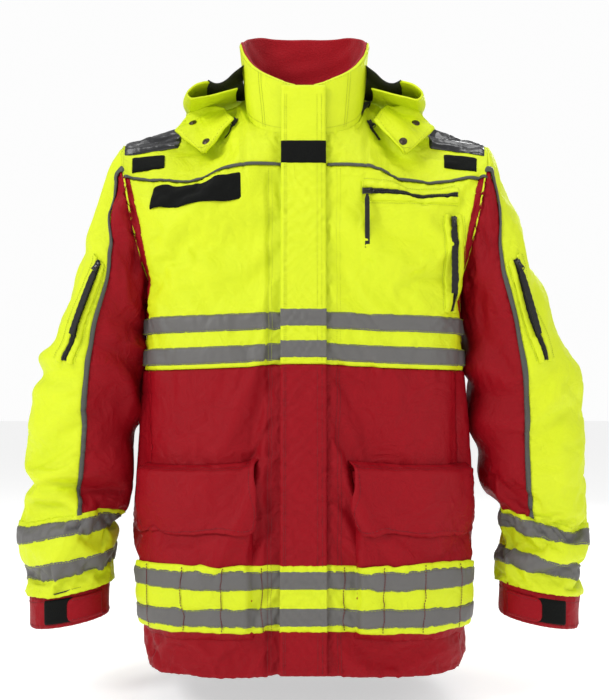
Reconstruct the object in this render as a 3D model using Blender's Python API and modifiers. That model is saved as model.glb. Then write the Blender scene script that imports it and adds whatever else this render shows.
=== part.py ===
"""Hip-length high-visibility turnout coat, empty, hung by its neck loop as if worn.

Every height below is measured up from the hem and every depth from the middle of the body.
place() moves such a point into the coat's own frame, whose origin is the middle of the neck loop.
+X is the wearer's left, -Y the front and +Z up.
"""
import math

import bpy
from mathutils import Matrix, Vector

# ------------------------------------------------------------------ driving dimensions, metres
LOOP = Vector((0.0, 0.056, 0.897))      # middle of the neck loop, which is the frame's origin
CLOTH = 0.003                           # shell cloth with its wadding
SEAM = 0.0005                           # half of the gap left between two neighbouring panels
TRIM = 0.0012                           # tapes, patches and zip strips

HEM_DEPTH = 0.156                       # centre front ahead of the middle, at the hem
LEAN = 0.0495                           # the straight centre front leans back this much a metre
BACK_DEPTH = 0.150
BODY_POWER = 3.5                        # plan section of the body: a superellipse
HALF_WIDTHS = ((0.0, 0.240), (0.06, 0.241), (0.15, 0.248), (0.33, 0.251), (0.43, 0.245), (0.56, 0.240))

ARM_H = 0.560                           # underarm
WAIST_H = 0.438                         # yellow top above, red skirt below
YOKE_H = 0.730
SHOULDER = (0.287, 0.791)               # half width and height of the shoulder point
NECK = (0.093, 0.866)                   # half width and height of the collar seam at its side
NECK_Y = -0.010                         # depth of the shoulder line
NECK_FRONT = (0.1072, 0.783)            # collar seam: reach ahead of NECK_Y, and height
NECK_BACK = (0.085, 0.890)
NECK_POWER = 2.8
ARMHOLE_DEPTH = 0.100
FRONT_GAP = 0.007                       # each front ends this far from the centre line
SIDE_SEAM = 0.94                        # share of the half width where the side panels start
ARM_EDGE = 0.985                        # the same for the armhole's edge

COLLAR_TOP = (0.104, 0.113, 0.088)      # half width, reach forward and reach back of the rim
COLLAR_TOP_H = (0.868, 0.988)           # front and back
COLLAR_INSET = 0.0045                   # the collar stands inside the shoulders' edge at its sides

FLAP_X = (-0.035, 0.032)                # storm flap: free edge and sewn edge
FLAP_TOP = 0.866
FLAP_OFF = 0.0075                       # its outer face stands this far off the fronts
FLAP_PATCH_H = (0.737, 0.771)
CHEST_BAND_H = (0.440, 0.515)
HEM_BAND_H = (0.062, 0.155)

POCKET_X = 0.074                        # inner edge of the lower pockets
POCKET_END = 0.965
POCKET_H = (0.052, 0.288)
POCKET_OFF = 0.012
POCKET_FLAP_H = (0.196, 0.303)
POCKET_FLAP_OFF = 0.0165

SLEEVE_OUTER = ((0.293, 0.790), (0.333, 0.700), (0.366, 0.600), (0.404, 0.514), (0.434, 0.430),
                (0.4335, 0.318), (0.429, 0.206), (0.420, 0.092))
SLEEVE_INNER = ((0.247, 0.563), (0.2485, 0.545), (0.251, 0.520), (0.255, 0.470), (0.263, 0.405),
                (0.278, 0.322), (0.293, 0.230), (0.297, 0.112))
SLEEVE_HALF_DEPTH = (0.098, 0.094, 0.089, 0.084, 0.080, 0.074, 0.067, 0.062)
SLEEVE_FORWARD = (-0.010, -0.012, -0.015, -0.019, -0.024, -0.031, -0.038, -0.044)
SLEEVE_SPLIT = 94.0                     # degrees from the outermost line to the two long seams
CUFF_ENDS = ((0.4185, 0.0895, 0.2985, 0.1095), (0.4165, 0.045, 0.2975, 0.063))
CUFF_HALF_DEPTH = 0.0605
SHOULDER_HINGE = (0.289, NECK_Y, 0.799)

# Columns shared by all layers of the body, as shares of the half width.
BODY_COLUMNS = (0.09, 0.18, 0.25, 0.29, 0.315, 0.324, 0.42, 0.52, 0.62, 0.71, 0.79, 0.85, 0.90, 0.94, 0.965,
                0.985, 1.0)
RIDGE = 89.5                            # degrees turned where front and back meet on the shoulder
NECK_COLUMN = 5                         # those before it only shape the neck opening
FRONT, BACK = -1, 1

COLOURS = {"yellow": (0.74, 0.87, 0.02), "red": (0.30, 0.008, 0.016), "grey tape": (0.22, 0.21, 0.20),
           "black": (0.01, 0.01, 0.01), "fleece": (0.42, 0.01, 0.02), "lining": (0.03, 0.03, 0.035),
           "shoulder": (0.04, 0.04, 0.045), "snap": (0.10, 0.08, 0.06)}


# ------------------------------------------------------------------ scene, materials, bodies
def clear_scene():
    for old in list(bpy.data.objects):
        bpy.data.objects.remove(old, do_unlink=True)


def make_material(name, colour):
    """A Principled material for one sub-part, metallic only on the snaps and sliders."""
    material = bpy.data.materials.new(name)
    material.use_nodes = True
    shader = material.node_tree.nodes["Principled BSDF"]
    shader.inputs["Base Color"].default_value = (*COLOURS[colour], 1.0)
    shader.inputs["Roughness"].default_value = 0.35 if colour in ("snap", "shoulder") else 0.8
    shader.inputs["Metallic"].default_value = 0.9 if colour == "snap" else 0.0
    return material


def place(point):
    """A point measured from hem and body middle, in the coat's frame."""
    return Vector(point) - LOOP


def world_place(pivot):
    return pivot.location + (world_place(pivot.parent) if pivot.parent else Vector())


def make_pivot(name, point, parent=None):
    """An empty on a joint's axis, which the moving pieces are parented to."""
    pivot = bpy.data.objects.new(name, None)
    pivot.empty_display_size = 0.02
    pivot.location = place(point)
    if parent:
        pivot.location -= world_place(parent)
        pivot.parent = parent
    coat.objects.link(pivot)
    return pivot


def finish(obj, name, colour, pivot=None):
    """Name, colour and group a new object, and hang it on its joint."""
    obj.name = name
    obj.data.name = name
    obj.data.materials.clear()
    obj.data.materials.append(make_material(name, colour))
    for group in list(obj.users_collection):
        group.objects.unlink(obj)
    coat.objects.link(obj)
    if pivot:
        for vertex in obj.data.vertices:
            vertex.co -= world_place(pivot)
        obj.parent = pivot
    return obj


# ------------------------------------------------------------------ the garment's surfaces
def between(low, high, share):
    return low + (high - low) * share


def read_profile(profile, height):
    """Straight interpolation in a list of (height, value)."""
    for (h0, v0), (h1, v1) in zip(profile, profile[1:]):
        if height <= h1:
            return between(v0, v1, max(0.0, (height - h0) / (h1 - h0)))
    return profile[-1][1]


def smooth(share):
    share = min(1.0, max(0.0, share))
    return share * share * (3 - 2 * share)


def rounding(share, power):
    """Superellipse: how much of the depth is left at a share of the half width."""
    return max(0.0, 1 - abs(share) ** power) ** (1 / power)


def body_half_width(height):
    if height <= ARM_H:
        return read_profile(HALF_WIDTHS, height)
    share = min(1.0, (height - ARM_H) / (SHOULDER[1] - ARM_H))
    return between(HALF_WIDTHS[-1][1], SHOULDER[0], share)


def body_depth(height, side):
    return HEM_DEPTH - LEAN * height if side == FRONT else BACK_DEPTH


def neck_seam(x, side):
    """Depth and height of the collar seam at x, or of the shoulder line beyond it."""
    if abs(x) >= NECK[0]:
        slope = (NECK[1] - SHOULDER[1]) / (SHOULDER[0] - NECK[0])
        return NECK_Y, NECK[1] - (abs(x) - NECK[0]) * slope
    reach, height = NECK_FRONT if side == FRONT else NECK_BACK
    left = rounding(x / NECK[0], NECK_POWER)
    return NECK_Y + side * reach * left, between(NECK[1], height, left)


def column_top(share, side):
    return neck_seam(share * SHOULDER[0], side)[1]


def top_power(share, side):
    """How square the chest turns over the shoulder; the centre front stays straight."""
    if side == BACK:
        return 2.2
    return 1 + 1.2 * smooth((abs(share) * SHOULDER[0] - 0.035) / 0.075)


def body_point(share, height, side, off=0.0):
    """Point of the body's surface, moved off along its width, depth and top."""
    x = share * (body_half_width(height) + off)
    if height <= ARM_H:
        return Vector((x, side * (body_depth(height, side) + off) * rounding(share, BODY_POWER), height))
    seam_y, top = neck_seam(share * SHOULDER[0], side)
    rise = min(1.0, (height - ARM_H) / (top - ARM_H))
    reach = abs(side * body_depth(ARM_H, side) * rounding(share, BODY_POWER) - seam_y)
    chest = reach * rounding(rise, top_power(share, side))
    arm = ARMHOLE_DEPTH * 2 * math.sqrt(rise * (1 - rise)) * abs(share) ** 3
    y = seam_y + side * ((chest ** 4 + arm ** 4) ** 0.25 + off)
    return Vector((x, y, height + off * rise ** 2))


def height_on_column(share, side, turn):
    """Height on a column where its curve over the shoulder has turned by this many degrees."""
    top = column_top(share, side)
    return ARM_H + (top - ARM_H) * math.sin(math.radians(turn)) ** (2 / top_power(share, side))


def turn_at(share, side, height):
    rise = (height - ARM_H) / (column_top(share, side) - ARM_H)
    return math.degrees(math.asin(min(1.0, rise) ** (top_power(share, side) / 2)))


def share_of(x, height):
    return x / body_half_width(height)


def front_columns(start, end, coarse=True):
    """Shares from the centre outwards, on the shared columns."""
    first = NECK_COLUMN if coarse else 0
    inner = [c for c in BODY_COLUMNS[first:] if start + 0.02 < c < end - 0.004]
    return [start, *inner, end]


def ring_columns(start, end):
    """(share, side) round the body from the left front past the back to the right front."""
    quarter = front_columns(start, 1.0)
    back = [(c, BACK) for c in reversed(BODY_COLUMNS[NECK_COLUMN:-1])] + [(0.0, BACK)]
    back += [(-c, BACK) for c in BODY_COLUMNS[NECK_COLUMN:-1]]
    last = [(-c, FRONT) for c in reversed(front_columns(end, 1.0))]
    return [(c, FRONT) for c in quarter] + back + last


def sleeve_row(value):
    """Outermost and innermost point, half depth and forward shift at a place down the sleeve."""
    last = len(SLEEVE_OUTER) - 1
    value = min(max(value, 0.0), float(last))
    i = min(int(value), last - 1)
    share = value - i
    outer = Vector(SLEEVE_OUTER[i]).lerp(Vector(SLEEVE_OUTER[i + 1]), share)
    inner = Vector(SLEEVE_INNER[i]).lerp(Vector(SLEEVE_INNER[i + 1]), share)
    depth = between(SLEEVE_HALF_DEPTH[i], SLEEVE_HALF_DEPTH[i + 1], share)
    return outer, inner, depth, between(SLEEVE_FORWARD[i], SLEEVE_FORWARD[i + 1], share)


def ring_point(outer, inner, depth, forward, angle, off):
    """Point of an oval between two guide points; 0 degrees is outermost and 90 is the front."""
    middle = (outer + inner) / 2
    arm = (outer - inner) / 2
    arm *= 1 + off / arm.length
    turn = math.radians(angle)
    return Vector((middle.x + arm.x * math.cos(turn), forward - (depth + off) * math.sin(turn),
                   middle.y + arm.y * math.cos(turn)))


def sleeve_point(angle, value, off=0.0):
    return ring_point(*sleeve_row(value), angle, off)


def cuff_point(angle, share, off=0.0):
    (ox, oz, ix, iz), (px, pz, jx, jz) = CUFF_ENDS
    outer = Vector((ox, oz)).lerp(Vector((px, pz)), share)
    inner = Vector((ix, iz)).lerp(Vector((jx, jz)), share)
    return ring_point(outer, inner, CUFF_HALF_DEPTH, SLEEVE_FORWARD[-1] - 0.002 * share, angle, off)


def collar_point(angle, share, off=0.0):
    """0 degrees is the centre back; the share runs up from the seam to the rim."""
    turn = math.radians(angle)
    power = 2 / NECK_POWER
    across = math.copysign(abs(math.sin(turn)) ** power, math.sin(turn))
    along = math.copysign(abs(math.cos(turn)) ** power, math.cos(turn))
    reach, height = NECK_BACK if along > 0 else NECK_FRONT
    low = Vector(((NECK[0] - COLLAR_INSET) * across, NECK_Y + reach * along, between(NECK[1], height, abs(along))))
    half, forward, back = COLLAR_TOP
    y = (back - NECK_Y if along > 0 else forward + NECK_Y) * along
    slope = (COLLAR_TOP_H[1] - COLLAR_TOP_H[0]) / (forward + back)
    high = Vector((half * across, NECK_Y + y, COLLAR_TOP_H[0] + (NECK_Y + y + forward) * slope))
    outwards = Vector((math.sin(turn), math.cos(turn), 0.0))
    return low.lerp(high, share) + outwards * off


def front_line(height, off=0.0):
    """Depth of the straight centre front."""
    return -(HEM_DEPTH - LEAN * height) - off


def mirrored(point):
    """The same sheet on the other side of the body, still facing outwards."""
    def other_side(u, v):
        found = point(1 - u, v)
        return Vector((-found.x, found.y, found.z))
    return other_side


# ------------------------------------------------------------------ builders
def sheet(name, colour, point, columns, rows, thick=CLOTH, pivot=None):
    """A grid laid on a surface by point(u, v), both from 0 to 1, and thickened inwards."""
    bpy.ops.mesh.primitive_grid_add(x_subdivisions=columns, y_subdivisions=rows, size=1)
    obj = bpy.context.object
    for vertex in obj.data.vertices:
        vertex.co = place(point(vertex.co.x + 0.5, vertex.co.y + 0.5))
    solid = obj.modifiers.new("thickness", "SOLIDIFY")
    solid.thickness = thick
    solid.offset = -1
    return finish(obj, name, colour, pivot)


def listed(columns, rows, point):
    """Read a grid's u and v as places in two lists, so that layers share their edges."""
    def found(u, v):
        return point(columns[round(u * (len(columns) - 1))], rows[round(v * (len(rows) - 1))])
    return found, len(columns) - 1, len(rows) - 1


def tube(name, colour, point, segments, thick=CLOTH, pivot=None):
    """A ring of cloth, open at both ends, by point(angle, share down)."""
    bpy.ops.mesh.primitive_cylinder_add(vertices=segments, radius=1, depth=1, end_fill_type="NOTHING")
    obj = bpy.context.object
    for vertex in obj.data.vertices:
        angle = math.degrees(math.atan2(-vertex.co.y, vertex.co.x))
        vertex.co = place(point(angle, 0.5 - vertex.co.z))
    solid = obj.modifiers.new("thickness", "SOLIDIFY")
    solid.thickness = thick
    solid.offset = -1
    return finish(obj, name, colour, pivot)


def turn_to(axes):
    """Rotation that lays X, Y and Z along three unit vectors, never a mirror image."""
    turn = Matrix(axes).transposed()
    if turn.determinant() < 0:
        turn = Matrix((-axes[0], *axes[1:])).transposed()
    return turn


def block(name, colour, centre, axes, size, pivot=None, bevel=0.0008):
    """A beveled block along three axes, which are given as unit vectors."""
    bpy.ops.mesh.primitive_cube_add(size=1)
    obj = bpy.context.object
    turn = turn_to(axes)
    for vertex in obj.data.vertices:
        vertex.co = place(centre) + turn @ Vector(c * s for c, s in zip(vertex.co, size))
    edge = obj.modifiers.new("edges", "BEVEL")
    edge.width = bevel
    edge.segments = 1
    return finish(obj, name, colour, pivot)


def surface_axes(point, u, v):
    """Across, outward and up directions of a surface."""
    step = 0.004
    across = (point(u + step, v) - point(u - step, v)).normalized()
    up = (point(u, v + step) - point(u, v - step)).normalized()
    out = across.cross(up).normalized()
    up = out.cross(across).normalized()
    return across, out, up


def flip(vector, side):
    return Vector((vector[0] * side, vector[1], vector[2]))


SIDES = (("right", -1), ("left", 1))


def both(name, colour, point, columns, rows, thick=CLOTH, pivots=None):
    """A left sheet and its mirrored right twin."""
    for word, sign in SIDES:
        made = point if sign > 0 else mirrored(point)
        pivot = pivots[word] if pivots else None
        sheet(f"{name}_{word}", colour, made, columns, rows, thick, pivot)


# ------------------------------------------------------------------ body panels
def make_front_panels():
    """Skirt, chest and yoke panels of the two fronts."""
    skirt_rows = [0.0, 0.06, 0.15, 0.24, 0.33, WAIST_H - SEAM]

    def skirt(column, height):
        share = share_of(FRONT_GAP, height) if column == 0 else column
        return body_point(share, height, FRONT)
    columns = [0, *front_columns(0.05, SIDE_SEAM - 0.003)[1:]]
    both("skirt", "red", *listed(columns, skirt_rows, skirt))

    chest_rows = [WAIST_H + SEAM, 0.49, 0.54, 0.566, 0.61, 0.66, YOKE_H - SEAM]

    def chest(column, height):
        if column == 0:
            column = share_of(FRONT_GAP, height)
        if column == 1:
            column = SIDE_SEAM - 0.003 if height < ARM_H else ARM_EDGE
        return body_point(column, height, FRONT)
    both("chest", "yellow", *listed([*columns[:-1], 1], chest_rows, chest))

    turns = (0.0, 0.3, 0.55, 0.75, 0.9, 1.0)

    def yoke(column, turn):
        if column == 0:
            column = share_of(FRONT_GAP, YOKE_H)
        start = turn_at(column, FRONT, YOKE_H + SEAM)
        end = 80.0 if 0.28 < column < 0.33 else RIDGE
        return body_point(column, height_on_column(column, FRONT, between(start, end, turn)), FRONT)
    fine = [0, *front_columns(0.05, ARM_EDGE, coarse=False)[1:]]
    both("yoke", "yellow", *listed(fine, turns, yoke))


def make_back_panels():
    """Skirt back and the yellow back up to the shoulder line and the collar seam."""
    shares = [c for c in reversed(BODY_COLUMNS[NECK_COLUMN:-4])]
    half = [SIDE_SEAM - 0.003, *shares, 0.14]
    skirt_rows = [0.0, 0.06, 0.15, 0.24, 0.33, WAIST_H - SEAM]

    def skirt(column, height):
        return body_point(column, height, BACK)
    columns = half + [0.0] + [-c for c in reversed(half)]
    sheet("back_skirt", "red", *listed(columns, skirt_rows, skirt))

    straight = (WAIST_H + SEAM, 0.49, 0.54, 0.566)
    turns = (0.2, 0.4, 0.58, 0.73, 0.85, 0.94, 1.0)

    def back(column, row):
        share = column
        if abs(column) == 1:
            share = column * (SIDE_SEAM - 0.003 if row in straight[:3] else ARM_EDGE)
        if row in straight:
            return body_point(share, row, BACK)
        start = turn_at(share, BACK, 0.566)
        return body_point(share, height_on_column(share, BACK, between(start, RIDGE, row - 1)), BACK)
    half = [1, *[c for c in reversed(BODY_COLUMNS[:-4])]]
    columns = half + [0.0] + [-c for c in reversed(half)]
    sheet("back_panel", "yellow", *listed(columns, [*straight, *(1 + t for t in turns)], back))


def make_side_panels():
    rows = [0.0, 0.06, 0.15, 0.24, 0.33, 0.43, 0.538]
    start = SIDE_SEAM + 0.003
    columns = [(start, FRONT), (0.965, FRONT), (0.985, FRONT), (1.0, FRONT), (0.985, BACK),
               (0.965, BACK), (start, BACK)]

    def side(column, height):
        return body_point(column[0], height, column[1])
    both("side_panel", "red", *listed(columns, rows, side))


def make_lining():
    """One quilted lining round the body, below the armholes."""
    columns = ring_columns(0.07, 0.07)

    def lining(column, height):
        return body_point(column[0], height, column[1], -0.006)
    sheet("body_lining", "lining", *listed(columns, [0.015, 0.15, 0.33, 0.43, 0.545], lining), 0.002)


def make_bands():
    """The chest band and the hem band, which steps out over the lower pockets."""
    start, end = share_of(0.041, 0.48), share_of(0.044, 0.48)
    columns = ring_columns(start, end)

    def chest_band(column, height):
        return body_point(column[0], height, column[1], 0.0024)
    sheet("chest_band", "grey tape", *listed(columns, CHEST_BAND_H, chest_band), TRIM)

    inner = share_of(POCKET_X, 0.1) - 0.035
    outside = [(inner, FRONT)] + [(c, FRONT) for c in BODY_COLUMNS[NECK_COLUMN:]] + [(0.985, BACK), (0.965, BACK)]
    back = [(c, BACK) for c in reversed(BODY_COLUMNS[NECK_COLUMN:-3])]
    columns = [(start, FRONT), *outside, *back, (0.0, BACK)]
    columns += [(-share, side) for share, side in reversed(columns[:-1])]

    def hem_band(column, height):
        covered = column[1] == FRONT and inner <= abs(column[0]) < 0.99
        return body_point(column[0], height, column[1], 0.0142 if covered else 0.0026)
    sheet("hem_band", "grey tape", *listed(columns, HEM_BAND_H, hem_band), TRIM)


# ------------------------------------------------------------------ pockets and flaps
def make_pockets():
    """Bellows pockets, open at the top, and their hinged flaps."""
    columns = [*front_columns(share_of(POCKET_X, 0.15), POCKET_END)]
    last = len(columns) - 1
    walls = (0.0, 0.1, *(i for i in range(1, last)), last - 0.1, last)

    def pouch(place_across, row):
        low = min(int(place_across), last - 1)
        share = between(columns[low], columns[low + 1], place_across - low)
        rim = place_across in (0.0, last) or row == 0
        height = POCKET_H[0] if row == 0 else between(POCKET_H[0] + 0.005, POCKET_H[1], (row - 1) / 3)
        return body_point(share, height, FRONT, 0.0026 if rim else POCKET_OFF)
    both("pocket", "red", *listed(walls, (0, 1, 2, 3, 4), pouch), 0.0018)

    def pocket_flap(column, height):
        return body_point(column, height, FRONT, POCKET_FLAP_OFF)
    flap_columns = front_columns(share_of(POCKET_X - 0.004, 0.25), POCKET_END)
    rows = [POCKET_FLAP_H[0], 0.25, POCKET_FLAP_H[1]]
    pivots = {word: make_pivot(f"pocket_flap_hinge_{word}", flip(pocket_hinge(), sign))
              for word, sign in SIDES}
    both("pocket_flap", "red", *listed(flap_columns, rows, pocket_flap), 0.0025, pivots)


def pocket_hinge():
    """A point just ahead of the flap's top edge, where the flap's curve is tangent to the axis."""
    return body_point(0.64, POCKET_FLAP_H[1], FRONT, POCKET_FLAP_OFF + 0.001)


def make_storm_flap():
    """The straight flap over the front zip, with the tapes and the patch that cross it."""
    hinge = make_pivot("storm_flap_hinge", (FLAP_X[1] + 0.003, front_line(0.43, 0.0110), 0.43))

    def strip(low, high, off, edge=0.0):
        def found(u, v):
            height = between(low, high, v)
            return Vector((between(FLAP_X[0] + edge, FLAP_X[1] - edge, u), front_line(height, off), height))
        return found
    sheet("storm_flap", "yellow", strip(0.0, FLAP_TOP, FLAP_OFF), 1, 2, 0.0025, hinge)
    trim_off = FLAP_OFF + 0.0003 + TRIM
    sheet("flap_chest_band", "grey tape", strip(*CHEST_BAND_H, trim_off, 0.0005), 1, 1, TRIM, hinge)
    sheet("flap_hem_band", "grey tape", strip(*HEM_BAND_H, trim_off, 0.0005), 1, 1, TRIM, hinge)
    sheet("flap_patch", "black", strip(*FLAP_PATCH_H, trim_off, 0.0005), 1, 1, TRIM, hinge)


# ------------------------------------------------------------------ collar and hood
def make_collar():
    """Outer collar and its fleece lining, open at the centre front."""
    reach = 176.5
    angles = [between(-reach, reach, i / 28) for i in range(29)]
    rows = (0.06, 0.5, 1.0)
    for name, colour, off, thick in (("collar_shell", "yellow", 0.0, CLOTH),
                                     ("collar_fleece", "fleece", -0.0036, 0.004)):
        def collar(angle, share, off=off):
            return collar_point(-angle, share, off)
        sheet(name, colour, *listed(angles, rows, collar), thick)


def make_neck_loop():
    """Short cord across the inside of the back neck, which a peg goes behind."""
    line = bpy.data.curves.new("hanger_loop", "CURVE")
    line.dimensions = "3D"
    line.bevel_depth = 0.0022
    line.bevel_resolution = 2
    line.use_fill_caps = True
    route = [(-0.036, 0.0635), (-0.032, 0.0582), (-0.024, 0.0562), (0.0, 0.056), (0.024, 0.0562),
             (0.032, 0.0582), (0.036, 0.0635)]
    spline = line.splines.new("POLY")
    spline.points.add(len(route) - 1)
    for point, (x, y) in zip(spline.points, route):
        point.co = (*place((x, y, LOOP.z)), 1.0)
    obj = bpy.data.objects.new("hanger_loop", line)
    line.materials.append(make_material("hanger_loop", "black"))
    coat.objects.link(obj)


HOOD_BACK = ((0.0, 0.902), (0.034, 0.892), (0.062, 0.866), (0.086, 0.800), (0.112, 0.772),
             (0.126, 0.808), (0.118, 0.862), (0.092, 0.912))
HOOD_SIDE = ((0.0, 0.890), (0.012, 0.884), (0.024, 0.880), (0.038, 0.876), (0.050, 0.874),
             (0.056, 0.880), (0.052, 0.892), (0.040, 0.904))


def make_hood():
    """The hood turned down behind the collar: a pouch whose mouth opens upwards."""
    def hood(u, v):
        angle = between(-112, 112, 1 - u)
        turn = math.radians(angle)
        weight = max(0.0, math.cos(turn)) ** 0.8
        last = len(HOOD_BACK) - 1
        i = min(int(v * last + 1e-6), last - 1)
        share = v * last - i
        side = Vector(HOOD_SIDE[i]).lerp(Vector(HOOD_SIDE[i + 1]), share)
        back = Vector(HOOD_BACK[i]).lerp(Vector(HOOD_BACK[i + 1]), share)
        reach, height = side.lerp(back, weight)
        base = collar_point(angle, 0.0, 0.0175)
        out = Vector((math.sin(turn), math.cos(turn), 0.0))
        return Vector((base.x + out.x * reach, base.y + out.y * reach, height))
    sheet("hood_bag", "yellow", hood, 16, 7, 0.003)


def make_hood_tabs():
    """The hood's two chin tabs, folded forward over the shoulders, and their snaps."""
    hinge_point, _ = tab_hinge()

    def tab(u, v):
        upper = between(0.118, 0.196, u)
        lower = between(0.135, 0.169, u)
        x = between(lower, upper, v)
        top = neck_seam(x, FRONT)[1] - 0.0105
        height = between(0.764 + 0.008 * abs(2 * u - 1), top, v)
        return body_point(x / body_half_width(height), height, FRONT, 0.0085)
    pivots = {word: make_pivot(f"hood_tab_hinge_{word}", flip(hinge_point, sign)) for word, sign in SIDES}
    both("hood_tab", "yellow", tab, 4, 4, 0.0025, pivots)
    for number, (u, v) in enumerate(((0.80, 0.72), (0.36, 0.22)), 1):
        across, out, up = surface_axes(tab, u, v)
        centre = tab(u, v) + out * 0.0030
        for word, sign in SIDES:
            bpy.ops.mesh.primitive_cylinder_add(vertices=16, radius=0.006, depth=0.003)
            snap = bpy.context.object
            turn = turn_to((flip(across, sign), flip(up, sign), flip(out, sign)))
            for vertex in snap.data.vertices:
                vertex.co = place(flip(centre, sign)) + turn @ vertex.co
            finish(snap, f"snap_{number}_{word}", "snap", pivots[word])


def tab_hinge():
    """Middle of the tab's top edge and the direction of that edge, on the left side."""
    ends = []
    for x in (0.118, 0.196):
        height = neck_seam(x, FRONT)[1] - 0.0105
        ends.append(body_point(x / body_half_width(height), height, FRONT, 0.0095))
    return (ends[0] + ends[1]) / 2, (ends[1] - ends[0]).normalized()


# ------------------------------------------------------------------ shoulder and chest trim
def make_patches():
    """Shoulder reinforcements and the hook-and-loop patches."""
    def shoulder(u, v):
        share = between(0.735, 0.975, u)
        start = turn_at(share, FRONT, column_top(share, FRONT) - 0.022)
        height = height_on_column(share, FRONT, between(start, 88.5, v))
        return body_point(share, height, FRONT, 0.0030)
    both("shoulder_patch", "shoulder", shoulder, 4, 4, TRIM)

    def shoulder_loop(u, v):
        share = between(0.80, 0.96, u)
        height = between(0.742, 0.766, v) - (share - 0.88) * 0.10
        return body_point(share, height, FRONT, 0.0030)
    both("shoulder_loop", "black", shoulder_loop, 2, 1, TRIM)

    def chest(u, v):
        height = between(0.5, 0.75, v)
        return body_point(-share_of(between(0.30, 0.0, u), height), height, FRONT)
    across, out, up = surface_axes(chest, 1 - 0.157 / 0.30, (0.697 - 0.5) / 0.25)
    tilt = Matrix.Rotation(math.radians(-4.0), 3, out)
    centre = chest(1 - 0.157 / 0.30, (0.697 - 0.5) / 0.25) + out * 0.0022
    block("name_patch", "black", centre, (tilt @ across, out, tilt @ up), (0.131, TRIM, 0.038), None, 0.0003)


def make_zips():
    """The front zip's tape, and the chest and side pocket zips with their sliders and pulls."""
    def front(u, v):
        height = between(0.02, 0.862, v)
        return Vector((between(-0.0058, 0.0058, u), front_line(height, 0.0), height))
    sheet("front_zip", "black", front, 1, 1, 0.0025)
    pivot = make_pivot("front_slider_start", (0, front_line(0.845), 0.845))
    lean = Vector((0, LEAN, 1)).normalized()
    out = Vector((0, -1, LEAN)).normalized()
    block("front_slider", "snap", (0, front_line(0.845, 0.0025), 0.845), (Vector((1, 0, 0)), out, lean),
          (0.010, 0.0034, 0.016), pivot)

    def chest_zip(u, v):
        height = between(0.690, 0.704, v)
        return body_point(share_of(between(0.084, 0.225, u), height), height, FRONT, 0.0042)
    sheet("chest_zip", "black", chest_zip, 6, 1, TRIM)
    start, end = chest_slide()
    run = (end - start).normalized()
    face = run.cross(Vector((0, 0, 1))).normalized()
    pivot = make_pivot("chest_slider_start", start)
    block("chest_slider", "snap", start, (run, face, Vector((0, 0, 1))), (0.014, 0.004, 0.010), pivot)
    hang = make_pivot("chest_pull_hinge", chest_pull_top(), pivot)
    pull_strip("chest_pull", chest_pull_top(), Vector((0, -0.02, -1)).normalized(), 0.080, 0.007, hang)

    def side_zip(u, v):
        height = between(0.525, 0.665, v)
        return body_point(share_of(between(0.213, 0.222, u), height), height, FRONT, 0.0042)
    sheet("side_zip", "black", side_zip, 1, 4, TRIM)
    top, bottom = side_slide()
    run = (bottom - top).normalized()
    across, out, _ = surface_axes(side_zip, 0.5, 0.5)
    across = (across - run * across.dot(run)).normalized()
    pivot = make_pivot("side_slider_start", top)
    block("side_slider", "snap", top, (across, across.cross(-run), -run), (0.010, 0.004, 0.014), pivot)
    hang = make_pivot("side_pull_hinge", side_pull_top(), pivot)
    pull_strip("side_pull", side_pull_top(), Vector((0, 0, -1)), 0.100, 0.012, hang, across)


def chest_slide():
    """Ends of the chest slider's straight run, just clear of the zip."""
    height = 0.697
    ends = [body_point(share_of(x, height), height, FRONT, 0.0100) for x in (0.090, 0.195)]
    return ends[0], ends[1]


def chest_pull_top():
    return chest_slide()[0] + Vector((0, -0.001, -0.0062))


def side_slide():
    """Ends of the side slider's straight run, the upper half of the zip, above the chest band."""
    ends = [body_point(share_of(0.2175, h), h, FRONT, 0.0090) for h in (0.656, 0.581)]
    return ends[0], ends[1]


def side_pull_top():
    top, bottom = side_slide()
    return top + (bottom - top).normalized() * 0.0085


def pull_strip(name, top, down, length, width, pivot, across=Vector((1, 0, 0))):
    """A webbing pull that hangs from its slider."""
    across = (across - down * across.dot(down)).normalized()
    out = across.cross(-down).normalized()
    block(name, "black", top + down * (length / 2), (across, out, -down), (width, 0.002, length), pivot)


# ------------------------------------------------------------------ sleeves
SLEEVE_ZIP = ((71.0, 78.0), (1.6, 2.0, 2.5, 3.0, 3.5))      # angles, and places down the sleeve
CUFF_TAB = ((100.0, 152.0), (0.12, 0.88))


def sleeve_slide():
    """Ends of the sleeve slider's straight run down its zip, on the left sleeve."""
    return [sleeve_point(74.5, value, 0.0078) for value in (1.72, 3.3)]


def sleeve_pull_top():
    top, bottom = sleeve_slide()
    return top + (bottom - top).normalized() * 0.0085


def cuff_tab_hinge():
    """Two points of the tab's hinge line, just outside its sewn end."""
    return [cuff_point(CUFF_TAB[0][1], share, 0.0036) for share in CUFF_TAB[1]]


def other_tube(point):
    return lambda angle, share: flip(point(180 - angle, share), -1)


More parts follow.
